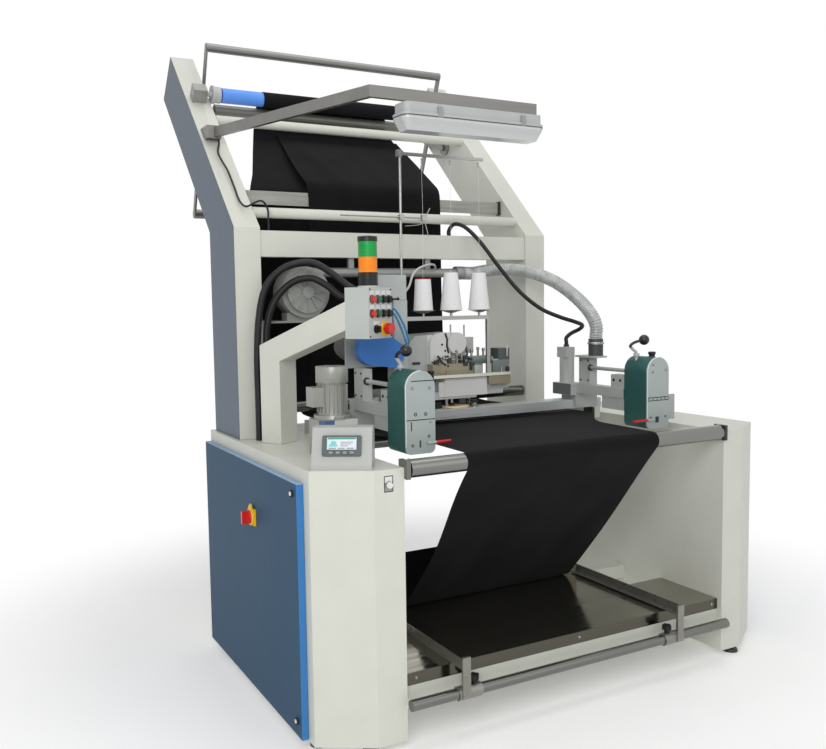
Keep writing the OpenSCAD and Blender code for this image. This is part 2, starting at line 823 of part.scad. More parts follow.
module press_roller() {
    color("grey") placed() on_lean(press)
        roller(left_inner + bearing_t + 24, right_inner - bearing_t - 24, press_d,
            left_inner + 1, right_inner - 1);
}

// Dancer: two side plates on pivots, a tube across the top and a roller across the bottom
module bar_between(a, b, w, x0, x1) {
    side_slab(x0, x1) {
        polygon(strip([a, b], w));
        for (p = [a, b]) translate(p) circle(d = w);
    }
}

module dancer_frame() {
    pivot = [lean_y(dancer[0], dancer[1]), lean_z(dancer[0], dancer[1])];
    x0 = left_inner + dancer_off;
    x1 = right_inner - dancer_off - dancer_plate_t;
    color(steel) placed() {
        for (x = [x0, x1]) {
            bar_between(dancer_top, dancer_low, 30, x, x + dancer_plate_t);
            bar_between(pivot, dancer_knee, 30, x, x + dancer_plate_t);
        }
        rod_x(left_inner + 1, x0 + 1, pivot[0], pivot[1], pivot_d);
        rod_x(x1 + dancer_plate_t - 1, right_inner - 1, pivot[0], pivot[1], pivot_d);
        rod_x(x0 + 1, x1 + dancer_plate_t - 1, dancer_top[0], dancer_top[1], dancer_tube_d);
        rod_x(x0 + 1, x1 + dancer_plate_t - 1, dancer_low[0], dancer_low[1], dancer_roller_d);
    }
}

// Sewing head and what carries it
module head_support() {
    plate_y1 = cross_tube_y + 40;
    color(pale_grey) placed() {
        box([column_x - 20, plate_y0, plate_z], [100, plate_y1, plate_z + plate_t]);
        box([head_x0 + 87, plate_y0 - 10, plate_z - 9], [head_x1 - 30, plate_y0 + 70, plate_z + eps]);
        for (x = [-380, 40])
            difference() {
                box([x - 30, cross_tube_y - 38, cross_tube_z - 36], [x + 30, plate_y1, plate_z + eps]);
                rod_x(x - 31, x + 31, cross_tube_y, cross_tube_z, cross_tube_d + 2 * fit_gap);
            }
        box([column_x, column_y, plate_z], [column_x + column_w, plate_y0 + eps, plate_z + plate_t]);
        box([column_x, column_y, plate_z + eps], [column_x + column_w, column_y + column_w, column_top]);
        box([column_x - 70, column_y - 4, column_top - eps], [column_x + 55, column_y + 90, column_top + 96]);
        difference() {
            box([motor_x - 75, column_y + column_w - 10, motor_z - 75],
                [column_x + eps, column_y + column_w, motor_z + 75]);
            rod_y(column_y, column_y + column_w + 1, motor_x, motor_z, 30);
        }
    }
}

head_x0 = -325;
head_x1 = -10;
head_y0 = 660;
bed_z = head_z + 58; // height of the sewing bed
bed_x0 = head_x0 + 134;
bed_x1 = head_x1 + 22;
bed_y0 = head_y0 - 20;
trim_x1 = head_x1 + 160; // right end of the edge trimmer

module head_arm() {
    top = head_z + 237;
    difference() {
        front_slab(head_y0 + 30, head_y0 + 190) polygon([
            [head_x0, head_z], [head_x1, head_z], [head_x1, head_z + 120], [head_x1 - 40, head_z + 150],
            [head_x1 - 52, top - 40], [head_x1 - 80, top], [head_x0 + 40, top - 8], [head_x0, top - 42]]);
        rod_x(head_x1 - 60, head_x1 + 1, head_y0 + 110, head_z + 80, journal_d + 2 * fit_gap);
    }
    // Rounded front cover, the round cover beside it and the thread guide block
    front_slab(head_y0 + 8, head_y0 + 31) polygon(concat(
        [[head_x0 + 190, head_z + 110], [head_x0 + 95, head_z + 110]],
        arc([head_x0 + 145, head_z + 190], 50, 180, 90, 6), [[head_x0 + 190, head_z + 240]]));
    front_slab(head_y0, head_y0 + 31) translate([head_x0 + 220, head_z + 195]) circle(d = 88);
    box([head_x1 - 56, head_y0 + 31 - eps, head_z + 150], [head_x1 + 2, head_y0 + 60, top - 20]);
    rod_z(top - 10, top + 34, head_x0 + 211, head_y0 + 40, 7);
    rod_z(top - 21, top + 31, head_x1 - 35, head_y0 + 45, 7);
}

module head_bed() {
    panel_y0 = head_y0 - 41.5;
    box([bed_x0, bed_y0, head_z], [trim_x1 - 15, head_y0 + 31, bed_z]);
    // Panel below the bed, in front of the plate that carries the head
    box([bed_x0, panel_y0, plate_z + 1], [bed_x1, plate_y0 - 0.1, bed_z]);
    box([bed_x0 - 26, panel_y0 + 4, plate_z + 1], [bed_x0 + eps, plate_y0 - 0.1, bed_z - 17]);
    box([bed_x0, plate_y0 - 0.1 - eps, head_z], [bed_x1, bed_y0 + eps, bed_z]);
    // Looper guard, presser rod, puller and edge trimmer on the bed
    box([head_x0 + 95, head_y0 - 10, bed_z - 1], [head_x1 - 40, head_y0 + 31, head_z + 112]);
    rod_z(bed_z - eps, head_z + 120, head_x0 + 216, head_y0 + 4, 9);
    box([head_x1 - 10, head_y0 + 2, bed_z - 1], [head_x1 + 30, head_y0 + 26, head_z + 122]);
    rod_x(head_x1 - 42, head_x1 + 75, head_y0 + 14, head_z + 122, 35);
    box([trim_x1 - 84, head_y0 - 5, bed_z - 38], [trim_x1, head_y0 + 7, head_z + 122]);
    box([trim_x1 - 56, head_y0 - 5, head_z + 118], [trim_x1, head_y0 + 55, head_z + 167]);
    rod_z(head_z + 132, head_z + 180, trim_x1 - 14, head_y0 - 8, 8);
}

module sewing_head() {
    color("white") placed() {
        head_arm();
        head_bed();
    }
}

module cloth_plate() {
    color(chrome) placed() {
        box([head_x0 - 20, head_y0 - 60, bed_z], [head_x1 + 130, head_y0 - 42, bed_z + 13]);
        box([head_x0 + 175, head_y0 - 43, bed_z], [head_x1 - 60, head_y0 - 10, bed_z + 8]);
    }
}

module handwheel() {
    x = head_x1 + 6;
    color(dark) placed() translate([0, head_y0 + 110, head_z + 80]) {
        rotate([0, 90, 0]) translate([0, 0, x]) rotate_extrude() polygon([
            [0, 0], [16, 0], [16, 8], [38, 8], [38, 0], [46, 0], [46, 24], [38, 24], [38, 16], [16, 16],
            [16, 26], [0, 26]]);
        rod_x(head_x1 - 56, x + 1, 0, 0, journal_d);
    }
}

module thread_stand() {
    top = column_top + 570;
    guide_rod_z = top - 250;
    color(steel) placed() {
        rod_z(column_top + 96, top, stand_x, stand_y, 10);
        box([stand_x - 14, stand_y - 9, top - 18], [stand_x + 6, stand_y + 9, top + 8]);
        box([stand_x, stand_y - 5, top - 12], [stand_x + 382, stand_y + 5, top]);
        rod_x(stand_x - 258, stand_x + 98, stand_y - 9, guide_rod_z, 7);
        box([stand_x - 9, stand_y - 15, guide_rod_z - 8], [stand_x + 9, stand_y + 9, guide_rod_z + 8]);
        box([column_x + column_w, stand_y - 6, cone_bar_z - 8],
            [cone_x[2] + 40, stand_y + 6, cone_bar_z + 8]);
        box([cone_x[2] + 34, stand_y - 6, plate_z + plate_t],
            [cone_x[2] + 48, stand_y + 6, cone_bar_z + 8]);
        for (x = cone_x) {
            rod_z(cone_bar_z + 7, cone_bar_z + 32, x, stand_y, 10);
            translate([x, stand_y, cone_bar_z + 20]) cylinder(d1 = 20, d2 = 100, h = 12);
        }
    }
}

module thread_cones() {
    color("white") placed()
        for (k = [0:2])
            translate([cone_x[k], stand_y, cone_bar_z + 32])
                cylinder(d1 = k == 0 ? 78 : 88, d2 = k == 0 ? 62 : 56, h = k == 0 ? 125 : 150);
}

module sewing_motor() {
    y0 = column_y + column_w;
    color(pale_grey) placed() {
        rod_y(y0, y0 + 14, motor_x, motor_z, 118);
        rod_y(y0 + 13, y0 + 150, motor_x, motor_z, 96);
        for (k = [0:6]) rod_y(y0 + 30 + k * 16, y0 + 36 + k * 16, motor_x, motor_z, 108);
        rod_y(y0 + 149, y0 + 175, motor_x, motor_z, 84);
        rod_y(column_y - 30, y0 + 1, motor_x, motor_z, 19);
    }
}

module guard_plan(inset) {
    translate([motor_x, motor_z]) circle(d = 124 - 2 * inset);
    translate([motor_x, motor_z]) polygon([
        [0, 62 - inset], [70, 50 - inset], [128 - inset, 10], [128 - inset, -44], [95, -75 + inset],
        [0, -62 + inset]]);
}

module belt_guard() {
    wall = 4;
    color(blue) placed() {
        difference() {
            front_slab(column_y - 44, column_y - 1) guard_plan(0);
            front_slab(column_y - 44 + wall, column_y) guard_plan(wall);
        }
        rod_y(column_y - 42, column_y, column_x + 9, motor_z - 20, 12);
    }
}

gear_x = -800;
gear_y = 360;

module gear_motor() {
    flange_z = table_h + 140;
    color(pale_grey) placed() {
        difference() {
            box([gear_x - 70, gear_y - 60, table_h], [gear_x + 84, gear_y + 60, flange_z - 14]);
            for (x = [gear_x - 70, gear_x + 84], y = [gear_y - 60, gear_y + 60])
                translate([x, y, table_h + 20]) rotate([0, 0, 45]) cube([24, 24, 400], center = true);
        }
        rod_z(flange_z - 15, flange_z, gear_x, gear_y, 128);
        rod_z(flange_z - 1, flange_z + 110, gear_x, gear_y, 98);
        for (k = [0:19])
            translate([gear_x, gear_y, flange_z + 8]) rotate([0, 0, k * 18])
                translate([46, -1.5, 0]) cube([8, 3, 94]);
        rod_z(flange_z + 109, flange_z + 165, gear_x, gear_y, 112);
        box([gear_x - 84, gear_y - 30, flange_z + 30], [gear_x - 40, gear_y + 30, flange_z + 96]);
        rod_x(gear_x + 83, gear_x + 110, gear_y, table_h + 62, 60);
    }
}

blower_x = -702;
blower_z = table_h + 566;
blower_y = 800;
pipe_y = 880;
pipe_z = table_h + 645;

module blower() {
    shelf_z = blower_z - 112;
    color(pale_grey) placed() {
        rod_y(blower_y + 20, blower_y + 120, blower_x, blower_z, 200);
        rod_y(blower_y, blower_y + 21, blower_x, blower_z, 166);
        for (k = [0:11])
            translate([blower_x, blower_y - 6, blower_z]) rotate([0, k * 30, 0])
                translate([22, 0, -2.5]) cube([56, 8, 5]);
        rod_y(blower_y - 8, blower_y + 1, blower_x, blower_z, 48);
        rod_y(blower_y + 119, blower_y + 210, blower_x, blower_z, 120);
        box([blower_x - 70, blower_y + 50, shelf_z], [blower_x + 70, blower_y + 110, blower_z - 80]);
        box([left_inner, post_y + 4, shelf_z - 8], [blower_x + 90, blower_y + 210, shelf_z]);
        box([left_inner, post_y + 4, shelf_z - 90], [left_inner + 8, blower_y + 210, shelf_z]);
        rod_x(blower_x + 20, hose_route[0][0], pipe_y, pipe_z, 38);
        rod_x(hose_route[0][0] - 40, hose_route[0][0], pipe_y, pipe_z, hose_d);
        for (x = [-480, -120]) box([x - 12, pipe_y - 8, pipe_z], [x + 12, pipe_y + 8, beam_z]);
    }
}

// Edge guides on the table bar
module guide_plan(inset) {
    r = guide_w / 2;
    foot_r = 20;
    translate([0, guide_h - r]) circle(r - inset);
    translate([-r + inset, foot_r]) square([guide_w - 2 * inset, guide_h - r - foot_r]);
    translate([-r + foot_r, inset]) square([guide_w - 2 * foot_r, foot_r]);
    for (k = [-1, 1]) translate([k * (r - foot_r), foot_r]) circle(foot_r - inset);
}

module guide_plate(x, pointer) {
    placed() {
        translate([x, 0, guide_z]) front_slab(guide_y, guide_y + guide_plate_t) guide_plan(0);
        rod_x(x + min(pointer, 0) + (pointer > 0 ? 24 : 0), x + max(pointer, 0) - (pointer < 0 ? 24 : 0),
            guide_y - 4, guide_z + 36, 10);
    }
}

module guide_body(x, shaft_x, lever_x, lever_y) {
    shaft_z = guide_z + guide_h - 60;
    rear = bar_y - run_gap;
    translate([x, 0, guide_z]) difference() {
        front_slab(guide_y + guide_plate_t, guide_back) guide_plan(0);
        translate([lever_x - x, lever_y, guide_h - 40]) cylinder(d = lever_d + 2 * fit_gap, h = 60);
    }
    // Shaft, arm and two blocks that join the body to the tower on the saddle
    rod_y(guide_back - 1, tower_y + 1, shaft_x, shaft_z, guide_shaft_d);
    box([shaft_x - 20, guide_back - 1, guide_z + 110], [shaft_x + 25, rear - saddle_t + 1, guide_z + 150]);
    box([shaft_x - 17, guide_back - 1, guide_z + 149], [shaft_x + 35, guide_back + 80, guide_z + 204]);
    box([shaft_x - 17, guide_back - 1, guide_z + 60], [shaft_x + 35, guide_back + 135, guide_z + 111]);
    box([x - 41, tower_y, guide_z + 148], [x - 2, rear - saddle_t + 1, guide_z + tower_h]);
    // Saddle that hooks over the table bar
    box([x - 60, rear - saddle_t, bar_z + 8], [x + 60, rear, guide_z + 150]);
    box([x - 60, rear - eps, bar_z + bar_t + run_gap],
        [x + 60, bar_y + bar_d + saddle_t, bar_z + bar_t + 20]);
    box([x - 60, bar_y + bar_d + run_gap, bar_z + 8],
        [x + 60, bar_y + bar_d + saddle_t, bar_z + bar_t + run_gap + eps]);
}

left_shaft_x = left_guide_x - 25;
right_shaft_x = right_guide_x - 40;
left_lever = [left_guide_x - 16, guide_back - 24];
right_lever = [right_guide_x - 34, guide_back - 44];

module left_guide() {
    color(green_body) placed() guide_body(left_guide_x, left_shaft_x, left_lever[0], left_lever[1]);
}

module right_guide() {
    socket = hose_route[len(hose_route) - 1];
    gland = conduit_route[len(conduit_route) - 1];
    color(green_body) placed() {
        guide_body(right_guide_x, right_shaft_x, right_lever[0], right_lever[1]);
        // Hose cuff on a shelf of the tower
        box([socket[0] - 34, socket[1] - 32, guide_z + tower_h - 1],
            [socket[0] + 34, bar_y - 9, guide_z + tower_h + 7]);
        rod_z(guide_z + tower_h + 6, socket[2], socket[0], socket[1], hose_d + 4);
        // Cutter drive behind the tower: base, round housing and cable head
        box([gland[0] - 52, bar_y - 14, bar_z + bar_t + 19], [gland[0] + 30, gland[1] + 30, guide_z + 149]);
        rod_z(guide_z + 148, guide_z + 262, gland[0] - 5, gland[1] - 10, 64);
        box([gland[0] - 36, gland[1] - 40, guide_z + 260], [gland[0] + 14, gland[1] + 20, gland[2] - 10]);
        rod_z(gland[2] - 11, gland[2], gland[0], gland[1], conduit_d + 6);
        // Stop plate beside the body
        box([right_guide_x + guide_w / 2 - 1, guide_y + 8, guide_z + 30],
            [right_guide_x + guide_w / 2 + 40, guide_y + 16, guide_z + 130]);
    }
}

module left_guide_plate() {
    color(pale_grey) guide_plate(left_guide_x, 115);
}

module right_guide_plate() {
    color(pale_grey) guide_plate(right_guide_x, -130);
}

// A cranked lever with a ball on a stem that turns in the guide body
module crank(base, turn) {
    rod = [[0, 0, 2], [-2, 0, 14], [-22, 0, 28], [-33, 0, 40], [-14, 0, 52], [12, 0, 58], [38, 0, 62]];
    boss_z = guide_z + guide_h + 3;
    translate([base[0], base[1], boss_z]) {
        translate([0, 0, -38]) cylinder(d = lever_d, h = 40);
        cylinder(d = 24, h = 10);
        rotate([0, 0, turn]) {
            cord(rod, lever_d, 2, 12);
            translate([40, 0, 62]) sphere(d = ball_d);
        }
    }
}

module left_lever() {
    color(dark) placed() crank(left_lever, -90);
}

module right_lever() {
    color(dark) placed() crank(right_lever, 0);
}

// Tray dividers that slide on the tube
module divider(x, inward) {
    sleeve_mid = x + inward * knob_inset / 2;
    bar_end = 585;
    bar_low = tray_h + run_gap;
    placed() {
        difference() {
            rod_x(sleeve_mid - sleeve_len / 2, sleeve_mid + sleeve_len / 2, tube_y, tube_z, sleeve_od);
            rod_x(-inner_x, inner_x, tube_y, tube_z, divider_tube_d + 2 * fit_gap);
            rod_z(tube_z, tray_h, x + inward * knob_inset, tube_y, 10 + 2 * fit_gap);
        }
        difference() {
            box([x - 15, front_reach, tube_z - 10], [x + 15, front_reach + upright_t + 6, bar_low + 40]);
            rod_x(-inner_x, inner_x, tube_y, tube_z, divider_tube_d + 4);
        }
        box([x - 15, front_reach, bar_low + 4], [x + 15, bar_end, bar_low + 8]);
        box([x - inward * 15 - 2, front_reach, bar_low], [x - inward * 15 + 2, bar_end, bar_low + 36]);
        box([x - 15, front_reach, bar_low + 7], [x + 15, front_reach + upright_t, bar_low + 40]);
    }
}

module left_divider() {
    color(dark) divider(left_divider_x, 1);
}

module right_divider() {
    color(dark) divider(right_divider_x, -1);
}

module clamp_knob(x) {
    foot = tube_z + sleeve_od / 2 + run_gap;
    placed() translate([x, tube_y, foot]) {
        translate([0, 0, -sleeve_od / 2 + divider_tube_d / 2 + 0.6]) cylinder(d = 10, h = 30);
        cylinder(d = 20, h = 12);
        translate([0, 0, 11]) {
            cylinder(d = knob_d - 8, h = 18);
            for (k = [0:4]) rotate([0, 0, k * 72]) translate([knob_d / 2 - 5, 0, 0]) cylinder(d = 10, h = 18);
        }
    }
}

module left_clamp_knob() {
    color(dark) clamp_knob(left_divider_x + knob_inset);
}

module right_clamp_knob() {
    color(dark) clamp_knob(right_divider_x - knob_inset);
}

// Cloth: from the tray over the front roller and under the table bar, then up to the take-up roller
module lower_fabric() {
    wrap_r = front_roller_d / 2 + cloth_gap + cloth_t / 2;
    wrap = [front_roller_y, front_roller_z];
    rest = [560, tray_h + cloth_gap + cloth_t / 2];
    wall_y = tray_y2 - tray_t - cloth_gap - cloth_t / 2;
    back = [bar_y + bar_d + 6, feed_roller_z + feed_roller_d / 2 + cloth_gap + cloth_t / 2];
    leave = 220;
    wall_top = tray_h + tray_back_h;
    heap_x = [-430, 385];
    left_front = -488;
    right_front = 350;
    color(dark) placed() {
        intersection() {
            side_slab(-inner_x, inner_x) polygon(strip(concat(
                [back, [feed_roller_y, back[1]]], arc(wrap, wrap_r, 90, 180, 8)), cloth_t));
            translate([0, 0, tray_h]) linear_extrude(table_h) polygon([
                [left_front, -100], [right_front, -100], [right_front, guide_back + 20],
                [feed_x1 - bearing_t - 25, bar_y], [feed_x1 - bearing_t - 25, post_y],
                [feed_x0 + bearing_t + 25, post_y], [feed_x0 + bearing_t + 25, bar_y],
                [left_front, guide_back + 20]]);
        }
        intersection() {
            side_slab(-inner_x, inner_x) polygon(strip(concat(
                arc(wrap, wrap_r, 180, leave, 4),
                [rest, [wall_y, rest[1]], [wall_y, wall_top - 2]]), cloth_t));
            front_slab(-100, post_y) polygon([
                [left_front, front_roller_z + 1], [right_front, front_roller_z + 1],
                [heap_x[1], wall_top], [heap_x[1], tray_h], [heap_x[0], tray_h], [heap_x[0], wall_top]]);
        }
    }
}

module upper_fabric() {
    press_y = lean_y(press[0], press[1]);
    press_z = lean_z(press[0], press[1]);
    take_y = lean_y(take_up[0], take_up[1]);
    take_z = lean_z(take_up[0], take_up[1]);
    press_r = press_d / 2 + cloth_gap + cloth_t / 2;
    take_r = take_up_d / 2 + cloth_gap + cloth_t / 2;
    floor_z = feed_roller_z + feed_roller_d / 2 + cloth_gap + cloth_t / 2;
    start_y = bar_y + bar_d + 8;
    back_y = spreader_y + 4 + cloth_gap + cloth_t / 2;
    front_y = spreader_y - 4 - cloth_gap - cloth_t / 2;
    join_z = floor_z + 165;
    climb = [back_y, spreader_z + 60];
    rise = atan2(press_z - climb[1], press_y + press_r - climb[0]);
    over = atan2(take_z - press_z, take_y - press_y);
    right_x = 55;
    left_front = -605;
    left_low = feed_x0 + 50;
    take_x = [-643, 21];
    color(dark) placed() {
        // From the feed roller under the head, narrowing towards the back
        intersection() {
            side_slab(-inner_x, inner_x) polygon(strip([
                [start_y, floor_z], [cross_tube_y + 45, floor_z + 38], [back_y - 32, floor_z + 92],
                [back_y, join_z]], cloth_t));
            translate([0, 0, table_h]) linear_extrude(table_h) polygon([
                [feed_x0 + bearing_t + 25, start_y - 1], [feed_x1 - bearing_t - 25, start_y - 1],
                [right_x, back_y - 20], [right_x, post_y + post_d], [left_low, post_y + post_d],
                [left_low, back_y - 20]]);
        }
        // Up behind and before the spreader, over the press roller and round the take-up roller
        intersection() {
            union() {
                side_slab(left_inner + 14, inner_x) polygon(strip(concat(
                    [[back_y, join_z - 5], climb],
                    arc([press_y, press_z], press_r, rise - 96, over - 94, 10),
                    arc([take_y, take_z], take_r, over - 90, over + 200, 24)), cloth_t));
                side_slab(left_front, inner_x) polygon(strip([
                    [back_y, join_z], [front_y, join_z + 100], [front_y, spreader_z + 58],
                    [lean_y(760, 74), lean_z(760, 74)]], cloth_t));
            }
            front_slab(0, 2000) polygon([
                [left_low, 0], [left_low, join_z], [left_inner + 20, beam_z],
                [left_inner + 24, spreader_z - 10], [-760, spreader_z + 120],
                [-715, lean_z(tie_high[0], 0)], [take_x[0], take_z - 60], [take_x[0], 2 * bend_z],
                [take_x[1], 2 * bend_z], [take_x[1], take_z - 60], [right_x, spreader_z], [right_x, 0]]);
        }
    }
}

// Cords
module suction_hose() {
    color("white") placed() cord(hose_route, hose_d, 1);
}

module cable_conduit() {
    color(dark) placed() cord(conduit_route, conduit_d, 1);
}

module outer_conduit() {
    color(dark) placed() cord(outer_route, flex_d, 1);
}

module inner_conduit() {
    color(dark) placed() cord(inner_route, flex_d, 1);
}

module air_tube() {
    color("deepskyblue") placed()
        for (route = air_routes) cord(route, air_d, 1);
}

module lamp_cable() {
    color(dark) placed() cord(lamp_cable_route, lamp_cable_d, 1);
}

left_cabinet();
right_cabinet();
levelling_feet();
electrics_panel();
left_post();
right_post();
cross_members();
frame_beams();
table_bar();
tray();
chrome_tubes();
bearing_blocks();
spreader_bar();
lamp_arm();
lamp_housing();
lamp_diffuser();
control_arm();
control_box();
stack_light();
hmi_panel();
head_support();
sewing_head();
cloth_plate();
thread_stand();
thread_cones();
sewing_motor();
belt_guard();
gear_motor();
blower();
upper_fabric();
lower_fabric();
suction_hose();
cable_conduit();
outer_conduit();
inner_conduit();
air_tube();
lamp_cable();
left_door();
main_switch();
start_button();
estop_button();
red_button();
green_button();
mode_selector();
front_roller();
feed_roller();
take_up_roller();
press_roller();
dancer_frame();
left_guide();
left_guide_plate();
left_lever();
right_guide();
right_guide_plate();
right_lever();
left_divider();
right_divider();
left_clamp_knob();
right_clamp_knob();
handwheel();
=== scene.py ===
"""Looks of a tubular fabric sewing machine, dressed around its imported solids.

Lengths in this script are millimetres in the machine's own frame, as in the part's source:
X along the rollers, Y from the operator to the back, Z up. They become metres when a mesh is made.
"""

import math

import bpy
from mathutils import Matrix, Vector


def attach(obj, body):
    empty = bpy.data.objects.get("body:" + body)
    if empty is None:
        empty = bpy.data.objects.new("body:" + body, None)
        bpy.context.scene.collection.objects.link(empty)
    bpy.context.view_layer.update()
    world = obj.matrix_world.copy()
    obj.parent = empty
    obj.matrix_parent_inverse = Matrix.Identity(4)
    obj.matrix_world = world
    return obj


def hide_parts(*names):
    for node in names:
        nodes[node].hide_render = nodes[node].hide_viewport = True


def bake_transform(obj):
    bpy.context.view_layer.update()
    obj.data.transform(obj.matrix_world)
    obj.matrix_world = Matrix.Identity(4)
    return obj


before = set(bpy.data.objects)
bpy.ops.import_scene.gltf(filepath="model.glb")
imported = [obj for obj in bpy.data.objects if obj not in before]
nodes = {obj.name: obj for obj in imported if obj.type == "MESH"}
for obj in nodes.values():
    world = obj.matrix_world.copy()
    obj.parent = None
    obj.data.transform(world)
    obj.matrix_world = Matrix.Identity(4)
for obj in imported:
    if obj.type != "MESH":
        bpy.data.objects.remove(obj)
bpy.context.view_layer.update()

MIDDLE = Vector((-27.75, 910.0, 0.0))  # origin of the shared frame, in machine millimetres
TABLE = 930
DOOR_FACE = -1018.5
SWITCH_Y, SWITCH_Z = 590, 690
LOCK_Y, LOCK_HEIGHTS = 195, (94, 847)


def metres(point):
    return (Vector(point) - MIDDLE) / 1000


def shade(colour, factor=1.0):
    """A colour of 0 to 255 display values as linear numbers, made darker or lighter by a factor."""
    out = []
    for value in colour:
        v = value / 255
        light = v / 12.92 if v <= 0.04045 else ((v + 0.055) / 1.055) ** 2.4
        out.append(min(1.0, light * factor))
    return (*out, 1.0)


def add_object(name, data):
    made = bpy.data.objects.new(name, data)
    bpy.context.scene.collection.objects.link(made)
    return made


# Materials


class Nodes:
    """Small helper that adds and links shader nodes."""

    def __init__(self, name):
        self.material = bpy.data.materials.new(name)
        self.material.use_nodes = True
        self.tree = self.material.node_tree
        self.shader = self.tree.nodes["Principled BSDF"]
        self.coordinate = self.tree.nodes.new("ShaderNodeTexCoord").outputs["Object"]

    def add(self, kind, inputs=None, **settings):
        node = self.tree.nodes.new("ShaderNode" + kind)
        for key, value in settings.items():
            setattr(node, key, value)
        for key, value in (inputs or {}).items():
            self.put(value, node.inputs[key])
        return node

    def put(self, value, socket):
        if isinstance(value, bpy.types.NodeSocket):
            self.tree.links.new(value, socket)
        else:
            socket.default_value = value

    def math(self, operation, a, b):
        return self.add("Math", {0: a, 1: b}, operation=operation).outputs[0]

    def noise(self, scale, detail=3.0, stretch=(1, 1, 1)):
        place = self.add("Mapping", {"Vector": self.coordinate, "Scale": stretch})
        return self.add(
            "TexNoise", {"Vector": place.outputs[0], "Scale": scale, "Detail": detail}
        ).outputs["Fac"]

    def spread(self, factor, low, high, start=0.3, stop=0.7):
        """The factor's range from start to stop, spread from low to high."""
        return self.add(
            "MapRange",
            {"Value": factor, "From Min": start, "From Max": stop, "To Min": low, "To Max": high},
        ).outputs["Result"]

    def mix(self, factor, a, b):
        node = self.add("Mix", data_type="RGBA")
        self.put(factor, node.inputs["Factor"])
        self.put(a, node.inputs["A"])
        self.put(b, node.inputs["B"])
        return node.outputs["Result"]

    def along(self, axis, low, high):
        """0 to 1 as the machine coordinate goes from low to high, in millimetres."""
        split = self.add("SeparateXYZ", {"Vector": self.coordinate})
        shift = MIDDLE["XYZ".index(axis)]
        return self.spread(split.outputs[axis], 0.0, 1.0, (low - shift) / 1000, (high - shift) / 1000)

    def inside(self, **ranges):
        """1 inside a box of machine coordinates, such as X=(low, high), in millimetres."""
        mask = 1.0
        split = self.add("SeparateXYZ", {"Vector": self.coordinate})
        for axis, (low, high) in ranges.items():
            shift = MIDDLE["XYZ".index(axis)]
            above = self.math("GREATER_THAN", split.outputs[axis], (low - shift) / 1000)
            below = self.math("LESS_THAN", split.outputs[axis], (high - shift) / 1000)
            mask = self.math("MULTIPLY", mask, self.math("MULTIPLY", above, below))
        return mask

    def facing(self, axis, sign):
        """1 where the surface faces that way in the object's own frame."""
        normal = self.add("TexCoord").outputs["Normal"]
        split = self.add("SeparateXYZ", {"Vector": normal})
        turned = self.math("MULTIPLY", split.outputs[axis], sign)
        return self.math("GREATER_THAN", turned, 0.7)

    def both(self, a, b):
        return self.math("MULTIPLY", a, b)

    def set(self, **sockets):
        """Constants for the shader's sockets, with _ for each space in a name."""
        for key, value in sockets.items():
            self.shader.inputs[key.replace("_", " ")].default_value = value

    def paint(self, colour):
        self.put(colour, self.shader.inputs["Base Color"])

    def drifting(self, a, b, scale, detail=2.0, stretch=(1, 1, 1)):
        """A colour that drifts between two tones."""
        return self.mix(self.spread(self.noise(scale, detail, stretch), 0.0, 1.0), shade(a), shade(b))

    def bump(self, height, strength, distance):
        node = self.add("Bump", {"Strength": strength, "Distance": distance, "Height": height})
        self.put(node.outputs["Normal"], self.shader.inputs["Normal"])


def surface(name, colour, rough=0.45, metal=0.0, vary=0.05, grain=9.0, peel=(320, 0.06), zones=None,
            stretch=(1, 1, 1), shine=0.3, uneven=1.0, **sockets):
    """A finish with drifting colour, uneven gloss and a fine bump. zones(n) gives masks with colours."""
    n = Nodes(name)
    drift = n.spread(n.noise(grain, stretch=stretch), 0.0, 1.0)
    paint = n.mix(drift, shade(colour, 1 - vary), shade(colour, 1 + vary))
    for mask, other in zones(n) if zones else ():
        tone = n.mix(drift, shade(other, 1 - vary), shade(other, 1 + vary))
        paint = n.mix(mask, paint, tone)
    n.paint(paint)
    scuff = n.noise(grain * 5, 5.0, stretch)
    smoothest = max(0.02, rough - 0.06 * uneven)
    n.put(n.spread(scuff, smoothest, rough + 0.08 * uneven), n.shader.inputs["Roughness"])
    n.set(Metallic=metal, Specular_IOR_Level=shine, **sockets)
    n.bump(n.noise(peel[0], 2.0, stretch), peel[1], 0.001)
    return n.material


def brushed(name, colour, rough, metal, vary, **more):
    """Metal with fine lines along X."""
    return surface(name, colour, rough, metal, vary, grain=14, peel=(900, 0.05), stretch=BRUSH_X, **more)


def polished(name, colour, rough, metal, vary, relief=0.02, **more):
    """Smooth metal with faint lines along X."""
    return surface(name, colour, rough, metal, vary, peel=(500, relief), stretch=BRUSH_X, **more)


CREAM = (212, 213, 203)
POST_SIDE = (78, 92, 108)
SLATE = (47, 79, 105)
BRIGHT_BLUE = (66, 128, 192)
BLACK = (24, 24, 26)
SILVER = (182, 185, 182)
RED = (206, 34, 30)
DARK_GREEN = (18, 92, 62)
YELLOW = (242, 190, 34)

BRUSH_X = (0.04, 1, 1)


def post_zones(x_outer, sign):
    """The outer face of a post is slate, the rest cream."""
    return lambda n: [(n.both(n.inside(X=(x_outer - 2, x_outer + 2)), n.facing("X", sign)), POST_SIDE)]


def cabinet_zones(n):
    """The screen console is a shade greyer than the cabinet under it."""
    return [(n.inside(Z=(TABLE + 1, TABLE + 200), Y=(0, 260)), (180, 182, 178))]


